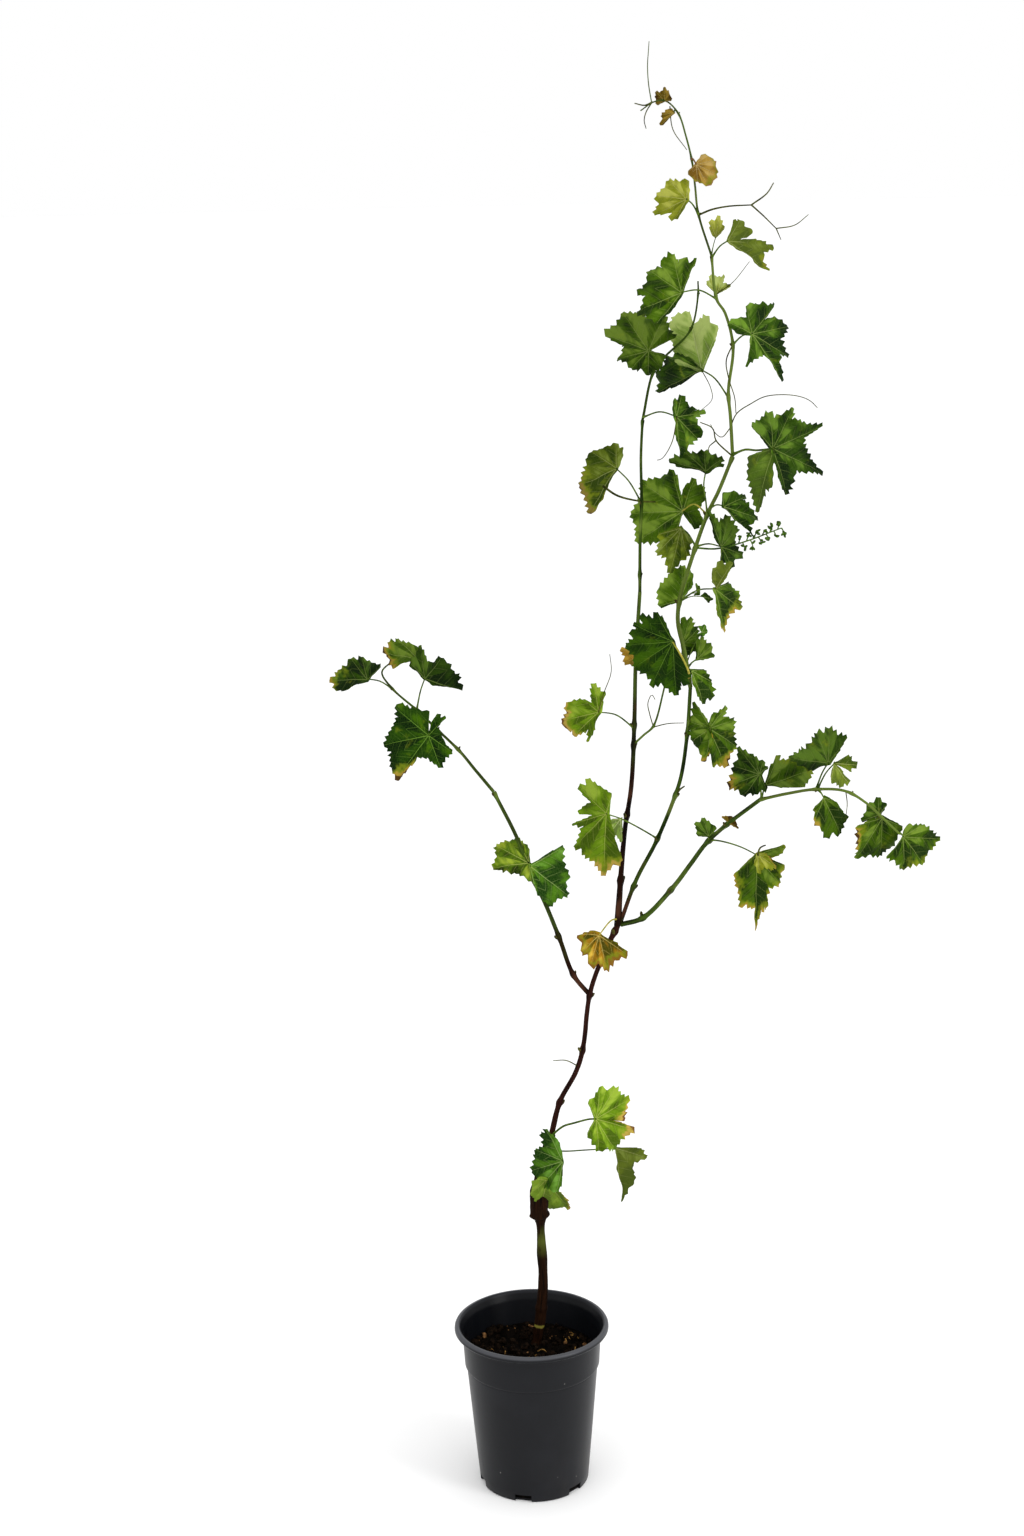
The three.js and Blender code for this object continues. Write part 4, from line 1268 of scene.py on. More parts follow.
        Blade((166, 16, 1176), (0.8, 0.2), ((-84, 41), (-50, 29), (2, 27), (74, 20), (101, 16)), painted_lit=0,
            cuts=((35, 14), (19, 19), (8, 18), (-9, 19), (-30, 22), (-37, 30)))),
    LeafRow("middle_leaf_3", "middle_shoot_top", 0.31, Slot.FRESH, LeafTone.GREEN, 0.76,
        Blade((138, 30, 1242), (-0.3, 0.8), ((-13, 16), (-95, 20), (-141, 22), (-167, 32), (-201, 45),
            (-237, 44), (-296, 38), (-334, 29)), painted_lit=100, cuts=((-198, 28), (-190, 25), (-176, 26),
            (-60, 20), (-75, 17)))),
)

# The smallest leaves have no node of their own, and are joined into one piece.
BUD_LEAVES = (
    LeafRow("bud_leaf_1", "tall_shoot_tip", 0.84, Slot.MID, LeafTone.DRY, 1.0,
        Blade((154, 4, 1485), (-0.6, 0.3), ((203, 8), (132, 12), (104, 8), (90, 13), (0, 6)))),
    LeafRow("bud_leaf_2", "tall_shoot_tip", 0.77, Slot.MID, LeafTone.DRY, 1.0,
        Blade((164, 14, 1474), (0.3, 0.6), ((104, 4), (190, 12), (220, 17)))),
    LeafRow("bud_leaf_3", "tall_shoot_upper", 1.0, Slot.MID, LeafTone.LIME, 1.0,
        Blade((206, 26, 1353), (0.5, -0.5), ((162, 3), (112, 16), (82, 20), (41, 11)), shows_under=True)),
    LeafRow("bud_leaf_4", "arching_shoot", 0.79, Slot.MID, LeafTone.DRY, 1.0,
        Blade((213, -48, 766), (-0.3, 0.4), ((140, 9), (60, 7), (-30, 10)))),
    LeafRow("bud_leaf_5", "tall_shoot_middle", 0.19, Slot.MID, LeafTone.GREEN, 1.0,
        Blade((170, 22, 939), (0.8, 0.3), ((-77, 13), (34, 22), (62, 27), (82, 27)))),
    LeafRow("bud_leaf_6", "upper_cane", 0.77, Slot.MID, LeafTone.GOLDEN, 1.0,
        Blade((134, 56, 923), (0.3, 0.5), ((259, 16), (194, 21), (162, 25), (126, 9)), shows_under=True)),
    LeafRow("bud_leaf_7", "arching_shoot", 0.66, Slot.MID, LeafTone.DEEP, 1.0,
        Blade((193, -40, 750), (-0.4, 0.6), ((180, 11), (140, 17), (107, 17), (45, 11)))),
    LeafRow("bud_leaf_8", "tall_shoot_middle", 0.36, Slot.MID, LeafTone.DEEP, 1.0,
        Blade((184, -10, 1000), (0.5, 0.4), ((-150, 4), (100, 9), (60, 6)))),
    LeafRow("bud_leaf_9", "tall_shoot_middle", 0.36, Slot.MID, LeafTone.DEEP, 1.0,
        Blade((190, -14, 996), (-0.5, 0.4), ((170, 3), (-10, 9), (-50, 7)))),
    LeafRow("bud_leaf_10", "tall_shoot_middle", 0.1, Slot.MID, LeafTone.BLUE_GREEN, 1.0,
        Blade((190, 8, 955), (0.4, 0.4), ((-160, 5), (120, 7), (60, 8), (0, 6)))),
)


@dataclass
class LeafForm:
    """Works out the shape of one blade: its toothed rim, its veins and its relief."""

    blade: Blade
    seed: int
    # The outline: the size from which a leaf is full-grown, its mesh, bays, notch and tips.
    full_size: float = 34
    rim_step: float = 1.5
    ring_step: float = 2.6
    thickness: float = 0.36
    full_bay: float = 50.0
    notch: float = 3.0
    tip_length: float = 1.8
    least_turn: float = 0.0015
    last_turn: float = 0.004
    # The teeth: their pitch and height, where they begin, and the shape of one.
    tooth: float = 6.2
    least_tooth: float = 0.45
    tooth_height: float = 2.3
    tooth_start: float = 0.2
    tooth_reach: float = 0.35
    tooth_foot: tuple[float, float] = (0.05, -0.12)
    tooth_end: tuple[float, float] = (0.97, -0.04)
    tooth_peaks: tuple[float, float] = (0.64, 0.8)
    tooth_sizes: tuple[float, float] = (0.5, 1.5)
    # The relief: the vein's groove, the puffed blade beside it, ripples, waves, cup and droop.
    vein_gap: float = 24.0
    groove: float = 1.3
    groove_reach: float = 2.6
    puff: float = 0.9
    puff_reach: float = 6
    ripple: float = 0.24
    ripple_start: float = 5
    wave_length: float = 19
    wave_height: float = 5.5
    waves: tuple[float, float] = (0.9, 1.5)
    rim_wave_height: float = 2.6
    rim_wave_finer: float = 2.6
    cups: tuple[float, float] = (-0.1, 0.24)
    droop: float = 0.08
    # The painted brightness: the usual direction of its painted lit side, the painted fan shade at the
    # veins and the random clouds.
    usual_painted_lit: float = 105
    painted_lit_spread: float = 55
    painted_fan_shade: float = 0.2
    fan_start: float = 2.5
    fan_reach: float = 9
    cloud: float = 0.42
    cloud_length: float = 15

    def __post_init__(self) -> None:
        """Works out the rim and the veins, with the teeth and waves that the seed gives."""
        blade = self.blade
        self.deal = random.Random(self.seed)
        self.longest = max(length for _, length in blade.lobes)
        self.small = min(1.0, self.longest / self.full_size)
        self.veins = self._veins()
        self.rim = self._rim()
        self.cup = self.deal.uniform(*self.cups)
        self.wave = self.deal.uniform(*self.waves)
        self.drift = Vector([self.deal.uniform(-50, 50) for _ in range(3)])
        # The direction of the blade's painted lit side, given or dealt.
        guess = self.usual_painted_lit + self.deal.uniform(-self.painted_lit_spread, self.painted_lit_spread)
        self.painted_lit = self._flat(guess if blade.painted_lit is None else blade.painted_lit, 1)
        self.outward = Vector((blade.lean[0], -1, blade.lean[1])).normalized()

    def _veins(self) -> list[tuple[float, float]]:
        """Chooses the lobes that have a main vein.

        Returns:
            Each vein's direction in radians and its length, the longest first.
        """
        chosen: list[tuple[float, float]] = []
        for direction, length in sorted(self.blade.lobes, key=lambda lobe: -lobe[1]):
            if all(abs(direction - other) > self.vein_gap for other, _ in chosen):
                chosen.append((direction, length))
        return [(math.radians(direction), length) for direction, length in chosen]

    def _corners(self) -> list[tuple[Vector, bool]]:
        """Lists the rim's main corners, anticlockwise.

        Returns:
            Each corner, and whether it is a lobe's tip.
        """
        cuts = self.blade.cuts
        marks = [(*lobe, True) for lobe in self.blade.lobes] + [(*cut, False) for cut in cuts]
        marks.sort()
        corners = []
        for (direction, length, is_tip), after in zip(marks, marks[1:] + [None]):
            reach = length + self.tip_length * self.small * is_tip
            corners.append((self._flat(direction, reach), is_tip))
            if after and is_tip and after[2]:
                deep = 1 - self.blade.bay * min(1.0, (after[0] - direction) / self.full_bay)
                middle = (direction + after[0]) / 2
                corners.append((self._flat(middle, (length + after[1]) / 2 * deep), False))
        opposite = (marks[0][0] + marks[-1][0]) / 2 + 180
        corners.append((self._flat(opposite, self.notch * self.small), False))
        return corners

    @staticmethod
    def _flat(direction: float, length: float) -> Vector:
        """Gives a point from a direction in degrees and a length."""
        angle = math.radians(direction)
        return Vector((math.cos(angle), math.sin(angle))) * length

    def _rim(self) -> list[Vector]:
        """Draws the toothed rim, close enough for smooth teeth.

        Returns:
            The rim's points, anticlockwise.
        """
        corners = self._corners()
        sharp: list[Vector] = []
        for (start, is_tip), (end, _) in zip(corners, corners[1:] + corners[:1]):
            sharp.extend(self._teeth(start, end, is_tip))
        rim: list[Vector] = []
        for start, end in zip(sharp, sharp[1:] + sharp[:1]):
            parts = max(1, round((end - start).length / self.rim_step))
            rim.extend(start.lerp(end, part / parts) for part in range(parts))
        return self._in_order(rim)

    def _teeth(self, start: Vector, end: Vector, from_tip: bool) -> list[Vector]:
        """Draws the pointed teeth between two corners.

        Args:
            start: The corner that they start from.
            end: The next corner.
            from_tip: True when the first corner is a lobe's tip.

        Returns:
            The points, without the second corner.
        """
        edge = end - start
        outward = Vector((edge.y, -edge.x)).normalized()
        share = self.least_tooth + (1 - self.least_tooth) * self.small
        count = max(1, round(edge.length / (self.tooth * share)))
        points = [start]
        for i in range(count):
            peak = self.deal.uniform(*self.tooth_peaks)
            steps = [self.tooth_foot, (peak, 1.0), self.tooth_end]
            if from_tip:
                steps = [(1 - place, push) for place, push in reversed(steps)]
            size = self.deal.uniform(*self.tooth_sizes)
            for place, push in steps:
                spot = start + edge * ((i + place) / count)
                far = max(0.0, spot.length / self.longest - self.tooth_start) / self.tooth_reach
                height = self.tooth_height * self.small * min(1.0, far) * size
                points.append(spot + outward * height * push)
        return points

    def _in_order(self, rim: list[Vector]) -> list[Vector]:
        """Turns back any point whose direction would fold the rim over itself.

        Args:
            rim: The rim's points.

        Returns:
            The points, each turned on from the last.
        """
        turned = [rim[0]]
        angle = math.atan2(rim[0].y, rim[0].x)
        top = angle + 2 * math.pi - self.last_turn
        for point in rim[1:]:
            own = math.atan2(point.y, point.x)
            while own < angle - math.pi:
                own += 2 * math.pi
            while own > angle + math.pi:
                own -= 2 * math.pi
            angle = min(max(own, angle + self.least_turn), top)
            turned.append(Vector((math.cos(angle), math.sin(angle))) * point.length)
        return turned

    def _beside(self, spot: Vector) -> list[tuple[float, float]]:
        """Measures a spot from each main vein.

        Args:
            spot: A spot on the flat blade, from its foot, in millimetres.

        Returns:
            How far it lies to the side of each vein's line, and how far along it.
        """
        ways = [Vector((math.cos(turn), math.sin(turn))) for turn, _ in self.veins]
        return [(spot.x * way.y - spot.y * way.x, spot.dot(way)) for way in ways]

    def near_vein(self, spot: Vector) -> tuple[float, float]:
        """Finds the main vein nearest to a spot.

        Args:
            spot: A spot on the flat blade, from its foot, in millimetres.

        Returns:
            How far the spot lies off it, and how far along it.
        """
        best = (self.longest, 0.0)
        for off, along in self._beside(spot):
            off = abs(off) if along > 0 else spot.length
            if off < best[0]:
                best = (off, along)
        return best

    def burnt(self, spot: Vector, share: float) -> float:
        """Works out how scorched a spot is.

        Args:
            spot: A spot on the flat blade, from its foot, in millimetres.
            share: How far out it lies, from 0 at the foot to 1 at the rim.

        Returns:
            The scorching, from 0 to the blade's own strength at its rim.
        """
        burn = self.blade.burn
        if burn.side is None:
            return burn.strength * share**5
        turn = math.degrees(math.atan2(spot.y, spot.x)) - burn.side
        turn = (turn + 180) % 360 - 180
        return burn.strength * share**5 * math.exp(-((turn / burn.spread) ** 2))

    def glow(self, spot: Vector) -> float:
        """Works out the painted light on the blade at a spot: a painted lit side, painted fan shade beside
        the veins, and random clouds.

        Args:
            spot: A spot on the flat blade, from its foot, in millimetres.

        Returns:
            The painted brightness, from 0 to 1.
        """
        # Painted light: brighter towards the painted lit side, and painted fan shade, darker on one side of
        # each main vein and lighter on the other.
        across = spot.dot(self.painted_lit) / self.longest
        side = 0.0
        nearest = self.longest
        for off, along in self._beside(spot):
            if along > 0 and abs(off) < nearest:
                nearest = abs(off)
                side = math.copysign(1.0, off)
        painted_fan_shade = side * min(1.0, nearest / self.fan_start) * math.exp(-((nearest / self.fan_reach) ** 2))
        wide = Vector((spot.x / self.cloud_length, spot.y / self.cloud_length, 7)) + self.drift
        cloud = self.cloud * noise.noise(wide)
        return 0.5 + self.blade.swing * across + self.painted_fan_shade * painted_fan_shade + cloud

    def relief(self, spot: Vector, share: float) -> float:
        """Works out how far the blade stands out of its plane at a spot.

        Args:
            spot: A spot on the flat blade, from its foot, in millimetres.
            share: How far out it lies, from 0 at the foot to 1 at the rim.

        Returns:
            The height, in millimetres.
        """
        off, along = self.near_vein(spot)
        dip = math.exp(-((off / (self.groove_reach * self.small)) ** 2))
        groove = -self.groove * dip * (1 - 0.5 * share)
        puff = self.puff * (1 - math.exp(-((off / self.puff_reach) ** 2)))
        beat = math.cos(2 * math.pi * (along - RIB_SLANT * off) / RIB_PITCH)
        ripple = -self.ripple * beat * min(1.0, off / self.ripple_start)
        midrib = self.veins[0][0]
        aside = abs(spot.x * math.sin(midrib) - spot.y * math.cos(midrib))
        wide = Vector((spot.x / self.wave_length, spot.y / self.wave_length, 0)) + self.drift
        wave = noise.noise(wide) * self.wave_height * self.wave * share**1.5
        rim_wave = noise.noise(wide * self.rim_wave_finer) * self.rim_wave_height * share**3
        reach = spot.length / self.longest
        droop = self.droop * self.longest * min(1.0, reach) ** 2
        folds = wave + rim_wave + self.cup * aside
        return (groove + puff + ripple + folds * self.blade.calm) * self.small - droop

    def grow(
        self,
        mesh: bmesh.types.BMesh,
        layers: dict[str, object],
        tint: float,
        sides: tuple[int, int],
        window: tuple[float, float],
    ) -> None:
        """Adds the blade as a thin closed shell.

        Args:
            mesh: The bmesh that takes it.
            layers: The vein, tint, painted light, burn and map layers.
            tint: How bright this leaf is.
            sides: The material slots of the side that faces the viewer and of the other.
            window: The lowest share of the map's height that it takes, and the share of it.
        """
        columns = len(self.rim)
        rows = max(5, round(self.longest / self.ring_step))
        half = self.thickness / 2
        lean = self.blade.lean
        base = Vector(self.blade.base)
        ring = self.rim + self.rim[:1]
        heights: dict[Spot, float] = {}
        spots: dict[Spot, Vector] = {}
        for column in range(columns + 1):
            for row in range(rows + 1):
                share = row / rows
                spot = ring[column] * share
                spots[column, row] = spot
                heights[column, row] = self.relief(spot, share)
        low = Vector((min(p.x for p in self.rim), min(p.y for p in self.rim)))
        high = Vector((max(p.x for p in self.rim), max(p.y for p in self.rim)))
        size = max(high.x - low.x, high.y - low.y)
        for side, slot in zip((1, -1), sides):
            patch = Patch(mesh, columns, rows)

            def place(column: int, row: int) -> Vector:
                """Places a corner of one side.

                Args:
                    column: The corner's column.
                    row: The corner's row.

                Returns:
                    The corner's place, in metres.
                """
                spot = spots[column, row]
                share = row / rows
                lift = heights[column, row] + side * half * (1 - share**6)
                flat = Vector((spot.x, lean[0] * spot.x + lean[1] * spot.y, spot.y))
                return (base + flat + self.outward * lift) * MM

            def unfold(column: int, row: int, _: int) -> tuple[float, float]:
                """Lays a corner out on the map.

                Args:
                    column: The corner's column.
                    row: The corner's row.
                    _: The first row of its face, which has no use here.

                Returns:
                    The corner's spot on the map.
                """
                spot = (spots[column, row] - low) / size
                left = 0.01 if side > 0 else 0.51
                return left + 0.48 * spot.x, window[0] + window[1] * (0.01 + 0.98 * spot.y)

            patch.move(place)
            patch.spread(layers["map"], unfold)
            for vert, (column, row) in patch.spots.items():
                off, along = self.near_vein(spots[column, row])
                vert[layers["vein"]] = Vector((off, along, row / rows))
                vert[layers["tint"]] = tint
                # The painted light and random clouds of the blade.
                vert[layers["glow"]] = self.glow(spots[column, row])
                vert[layers["burn"]] = self.burnt(spots[column, row], row / rows)
            for face in patch.faces:
                face.material_index = slot


@dataclass
class Foliage:
    """All the leaves and their stalks."""

    stems: Stems
    sharp_turn: float = 75
    stalk_radius: float = 0.95
    stalk_rise: float = 0.1
    stalk_sides: int = 8
    stalk_step: float = 0.004
    bud_stalk: float = 0.6
    stout_stalk: float = 1.35
    foot_swell: float = 0.7
    foot_reach: float = 0.004
    taper: float = 0.25
    yellow: tuple[str, ...] = ("cane_leaf_1", "tall_leaf_3", "tall_leaf_10")
    rosy: tuple[str, ...] = ("tall_leaf_20",)
    stout: tuple[str, ...] = ("foot_leaf_3", "tall_leaf_3", "tall_leaf_13")

    def build(self) -> None:
        """Builds each leaf in place of its node, then the smallest leaves and the stalks."""
        for order, row in enumerate(LEAVES):
            mesh, layers = self._start()
            tones = list(dict.fromkeys([row.tone, row.fold_tone or row.tone]))
            self._leaf(mesh, layers, row, SEED + 7 * order, tones)
            self._keep(mesh, f"{row.name}_blade", tones, row.slot, [row.name])
        mesh, layers = self._start()
        tones = list(dict.fromkeys(row.tone for row in BUD_LEAVES))
        for order, row in enumerate(BUD_LEAVES):
            self._leaf(mesh, layers, row, SEED * 9 + order, tones)
        self._keep(mesh, "smallest_leaves", tones, Slot.MID)
        self._stalks()

    def _keep(
        self,
        mesh: bmesh.types.BMesh,
        name: str,
        tones: list[LeafTone],
        slot: Slot,
        nodes: Iterable[str] = (),
    ) -> None:
        """Closes a bmesh of leaves and keeps it as a piece.

        Args:
            mesh: The bmesh, which is freed.
            name: The piece's name.
            tones: The tones in the order of the material slots.
            slot: The record's material slot.
            nodes: The CAD nodes that it replaces.
        """
        close_up(mesh, self.sharp_turn)
        keep(mesh, name, [side for each in tones for side in each.sides()], slot, nodes)

    @staticmethod
    def _start() -> tuple[bmesh.types.BMesh, dict[str, object]]:
        """Starts a bmesh with the layers that leaves need.

        Returns:
            The bmesh, and its layers by name.
        """
        mesh = bmesh.new()
        layers = {"vein": mesh.verts.layers.float_vector.new("vein")}
        # One layer holds each blade's painted light and random clouds.
        layers |= {name: mesh.verts.layers.float.new(name) for name in ("tint", "glow", "burn")}
        layers["map"] = mesh.loops.layers.uv.new(BAKE_MAP)
        return mesh, layers

    @staticmethod
    def _leaf(
        mesh: bmesh.types.BMesh,
        layers: dict[str, object],
        row: LeafRow,
        seed: int,
        tones: list[LeafTone],
    ) -> None:
        """Adds a leaf's blade and its fold.

        Args:
            mesh: The bmesh that takes it.
            layers: The bmesh's layers.
            row: The leaf.
            seed: The seed of its blade.
            tones: The tones in the order of the material slots.
        """
        parts = [(row.blade, row.tone, (0.0, 1.0))]
        if row.fold:
            parts = [
                (row.blade, row.tone, (0.0, 0.6)),
                (row.fold, row.fold_tone or row.tone, (0.6, 0.4)),
            ]
        for order, (blade, colour, window) in enumerate(parts):
            first = 2 * tones.index(colour)
            sides = (first + 1, first) if blade.shows_under else (first, first + 1)
            LeafForm(blade, seed + order).grow(mesh, layers, row.shade, sides, window)

    def _stalks(self) -> None:
        """Builds the leaf stalks, from the middle of each limb to the foot of its blade."""
        mesh = bmesh.new()
        for row in LEAVES + BUD_LEAVES:
            foot = self.stems.bends[row.on].find(row.at)[0] / MM
            tip = Vector(row.blade.base)
            middle = foot.lerp(tip, 0.5) + Vector((0, 0, self.stalk_rise * (foot - tip).length))
            bend = Bend([foot, *(row.via or [middle]), tip])
            size = self.stalk_radius * MM * (self.bud_stalk if row in BUD_LEAVES else 1)
            size *= self.stout_stalk if row.name in self.stout else 1

            def radius(share: float, angle: float) -> float:
                """Gives the radius of a stalk that is swollen at its foot."""
                near = math.exp(-((share * bend.length / self.foot_reach) ** 2))
                return size * (1 + self.foot_swell * near - self.taper * share)

            colour = 1 if row.name in self.yellow else 2 if row.name in self.rosy else 0
            grow_tube(mesh, bend, radius, self.stalk_sides, self.stalk_step, colour)
        close_up(mesh)
        finishes = (
            PlainGrowth("green_stalks", "233809", "566c23"),
            PlainGrowth("yellow_stalks", "797e28", "a99a45"),
            PlainGrowth("rosy_stalks", "5f4322", "876c41"),
        )
        keep(mesh, "leaf_stalks", [finish.dress() for finish in finishes], Slot.SHOOT)


# Tendrils and flowers

TENDRILS: tuple[tuple[float, tuple[Point, ...]], ...] = (
    (0.6, ((142, 0, 1484), (134, -5, 1481), (124, -10, 1483))),
    (0.45, ((141, 0, 1483), (136, 3, 1475), (134, 5, 1467), (136, 8, 1459))),
    (0.4, ((160, 16, 1480), (163, 19, 1458), (177, 22, 1438))),
    (0.75, ((189, 22, 1375), (201, 15, 1380), (217, 9, 1383), (239, 2, 1384))),
    (0.6, ((239, 2, 1384), (254, -2, 1395), (260, -6, 1405))),
    (0.6, ((239, 2, 1384), (250, -1, 1374), (263, -4, 1361))),
    (0.45, ((263, -4, 1361), (281, -7, 1364), (294, -10, 1374))),
    (0.45, ((263, -4, 1361), (268, -2, 1350))),
    (0.45, ((219, 8, 1165), (225, 0, 1180), (239, -5, 1190), (252, -10, 1197), (271, -15, 1199),
           (287, -20, 1197), (296, -25, 1193), (302, -30, 1187))),
    (0.5, ((222, 12, 1248), (215, 9, 1232), (217, 6, 1215), (223, 3, 1195), (224, 0, 1180))),
    (0.6, ((220, 4, 1137), (204, 0, 1153), (200, -6, 1166), (187, -12, 1173))),
    (0.4, ((219, 6, 1165), (210, 2, 1156), (202, -2, 1162), (198, -6, 1170))),
    (0.5, ((204, 0, 1153), (196, -6, 1147), (196, -8, 1143))),
    (0.45, ((166, 16, 1176), (160, 12, 1150), (150, 14, 1134), (145, 12, 1133))),
    (0.35, ((193, 46, 1220), (201, 30, 1203), (201, 17, 1192), (189, 10, 1182))),
    (0.4, ((82, 4, 874), (88, 4, 894), (96, 9, 915), (95, 14, 933))),
    (0.4, ((324, -112, 813), (325, -115, 802), (324, -116, 791))),
    (0.35, ((207, 28, 1297), (222, 20, 1308), (238, 8, 1329))),
    (0.45, ((140, 20, 853), (155, 13, 858), (171, 6, 860))),
    (0.45, ((140, 20, 853), (136, 17, 868), (134, 13, 880), (138, 9, 890), (141, 4, 886))),
    (0.5, ((56, 30, 474), (43, 27, 482), (29, 24, 483))),
    (0.9, ((92, 70, 1100), (107, 59, 1091), (130, 51, 1086), (145, 44, 1086))),
    (0.9, ((162, 9, 780), (166, 6, 788), (171, 2, 793))),
    (0.8, ((241, -66, 736), (242, -67, 742), (244, -67, 745), (249, -67, 747))),
)


@dataclass
class Tendrils:
    """The thin twining tendrils and spurs."""

    sides: int = 7
    step: float = 0.003
    thicken: float = 1.5
    taper: float = 0.4

    def build(self) -> None:
        """Builds them as one piece."""
        mesh = bmesh.new()
        for size, points in TENDRILS:
            bend = Bend(points)

            def radius(share: float, angle: float) -> float:
                """Gives the radius of a tendril that thins towards its tip."""
                return size * self.thicken * MM * (1 - self.taper * share)

            grow_tube(mesh, bend, radius, self.sides, self.step)
        close_up(mesh)
        finish = PlainGrowth("olive_tendrils", "1c2006", "4a4e1a", 0.6, 90)
        keep(mesh, "tendrils", [finish.dress()], Slot.SHOOT)


@dataclass
class FlowerSpray:
    """The spray of closed flower buds beside the tall shoot."""

    stem: tuple[Point, ...] = ((183, 8, 1043), (205, 0, 1043), (233, -8, 1051), (269, -14, 1065))
    bare: float = 0.5
    branches: int = 12
    reach: float = 13
    spread: float = 100
    bud: float = 1.9
    bud_places: tuple[float, ...] = (0.5, 0.72, 0.88, 1.0)
    bud_shape: Point = (0.8, 0.8, 1.5)
    bud_stalks: tuple[float, float] = (1.4, 2.6)
    stem_radius: float = 1.1
    stem_taper: float = 0.5
    twig_radius: float = 0.75
    twig_taper: float = 0.2
    stalk_radius: float = 0.42

    def build(self) -> None:
        """Builds the stems and the buds, each kind as one piece."""
        deal = random.Random(SEED * 3)
        twigs = bmesh.new()
        buds = bmesh.new()
        bend = Bend(self.stem)

        def thick(share: float, angle: float) -> float:
            """Gives the radius of the spray's stem."""
            return (self.stem_radius - self.stem_taper * share) * MM

        def thin(share: float, angle: float) -> float:
            """Gives the radius of a branch of the spray."""
            return (self.twig_radius - self.twig_taper * share) * MM

        grow_tube(twigs, bend, thick, 7, 0.003)
        for order in range(self.branches):
            share = self.bare + (1 - self.bare) * order / (self.branches - 1)
            foot = bend.find(share)[0] / MM
            length = self.reach * (1.15 - 0.6 * share) * deal.uniform(0.75, 1.2)
            swing = math.radians(self.spread * (-1) ** order + deal.uniform(-45, 45))
            out = Vector((0.35, 0.55 * math.cos(swing), math.sin(swing))).normalized()
            tip = foot + out * length
            middle = foot.lerp(tip, 0.5) + Vector((0, 0, 1))
            branch = Bend([foot, middle, tip])
            grow_tube(twigs, branch, thin, 6, 0.003)
            for place in self.bud_places:
                start = branch.find(place)[0] / MM
                aside = Vector([deal.uniform(-1, 1) for _ in range(3)]).normalized()
                end = start + aside * deal.uniform(*self.bud_stalks)
                size = self.bud * deal.uniform(0.75, 1.15) * MM
                turn = Vector((0, 0, 1)).rotation_difference(aside).to_matrix().to_4x4()
                stretch = Matrix.Diagonal((*(size * side for side in self.bud_shape), 1))
                shape = Matrix.Translation(end * MM) @ turn @ stretch
                bmesh.ops.create_icosphere(buds, subdivisions=1, radius=1, matrix=shape)
                stalk = Bend([start, start.lerp(end, 0.5), end])
                grow_tube(twigs, stalk, lambda share, angle: self.stalk_radius * MM, 5, 0.002)
        close_up(twigs)
        close_up(buds, 80)
        green = PlainGrowth("spray_stems", "263e0f", "526c29")
        keep(twigs, "flower_spray_stems", [green.dress()], Slot.SHOOT)
        dark = PlainGrowth("flower_buds_green", "1c3408", "46641c", 0.5, 500)
        keep(buds, "flower_buds", [dark.dress()], Slot.MID)


# Pot and soil


@dataclass
class Pot:
    """The black pot: a tapered wall, a step, a wider band and a rolled lip."""

    steps: int = 144
    notches: int = 6
    notch: Point = (9, 18.5, 17)
    notch_radius: float = 60.5
    first_notch: float = -102.6
    inward: float = -0.2
    sharp_turn: float = 40
    profile: tuple[tuple[float, float], ...] = (
        (0, 0), (58.5, 0), (59.8, 0.5), (60.5, 1.6), (61.43, 12), (66.5, 69), (72.3, 136.6),
        (72.4, 138.2), (72.2, 138.7), (72.2, 139.1), (73, 139.4), (74, 139.7), (74.4, 140.4),
        (74.5, 142), (76.2, 172), (76.6, 178.6), (77.3, 179.4), (83.2, 179.6), (84.3, 180),
        (84.9, 180.9), (85, 182), (84.8, 183.8), (84.1, 185.1), (83, 185.8), (81.8, 186),
        (80.6, 185.9), (79.8, 185.5), (79.2, 184.8), (78.4, 183), (76.2, 179), (75, 176),
        (72.2, 141), (70.5, 138), (58.8, 4.4), (57.6, 3), (0, 3),
    )

    def build(self) -> None:
        """Spins the profile, cuts the drain notches and keeps the pot."""
        mesh = bmesh.new()
        verts = [mesh.verts.new((radius * MM, 0, height * MM)) for radius, height in self.profile]
        edges = [mesh.edges.new(pair) for pair in zip(verts, verts[1:])]
        bmesh.ops.spin(
            mesh, geom=verts + edges, cent=(0, 0, 0), axis=(0, 0, 1), dvec=(0, 0, 0),
            angle=2 * math.pi, steps=self.steps, use_merge=True, use_duplicate=False,
        )
        close_up(mesh, self.sharp_turn)
        whole = as_object(mesh, "pot_whole")
        cutter = as_object(self._cutter(), "pot_cutter")
        cut = whole.modifiers.new("drain", "BOOLEAN")
        cut.object = cutter
        cut.operation = "DIFFERENCE"
        cut.solver = "EXACT"
        bpy.context.view_layer.update()
        ready = whole.evaluated_get(bpy.context.evaluated_depsgraph_get())
        result = bmesh.new()
        result.from_mesh(ready.data)
        for piece in (whole, cutter):
            bpy.data.objects.remove(piece)
        close_up(result, self.sharp_turn)
        for face in result.faces:
            out = face.calc_center_median().xy
            face.material_index = int(face.normal.xy.dot(out) < self.inward * out.length)
        # Inward faces take a darker shaded copy, whose painted lip highlight is dimmer.
        inner = PotFinish("shaded_pot_plastic", "050609", "0b0c10", lip="1c1d21")
        keep(result, "pot_skin", [PotFinish().dress(), inner.dress()], Slot.POT, ["pot"])

    def _cutter(self) -> bmesh.types.BMesh:
        """Builds the boxes that cut the drain notches.

        Returns:
            Their bmesh.
        """
        mesh = bmesh.new()
        for i in range(self.notches):
            turn = Matrix.Rotation(math.radians(self.first_notch + i * 360 / self.notches), 4, "Z")
            shift = Matrix.Translation((self.notch_radius * MM, 0, 0))
            size = Matrix.Diagonal((*(side * MM for side in self.notch), 1))
            bmesh.ops.create_cube(mesh, size=1, matrix=turn @ shift @ size)
        return mesh


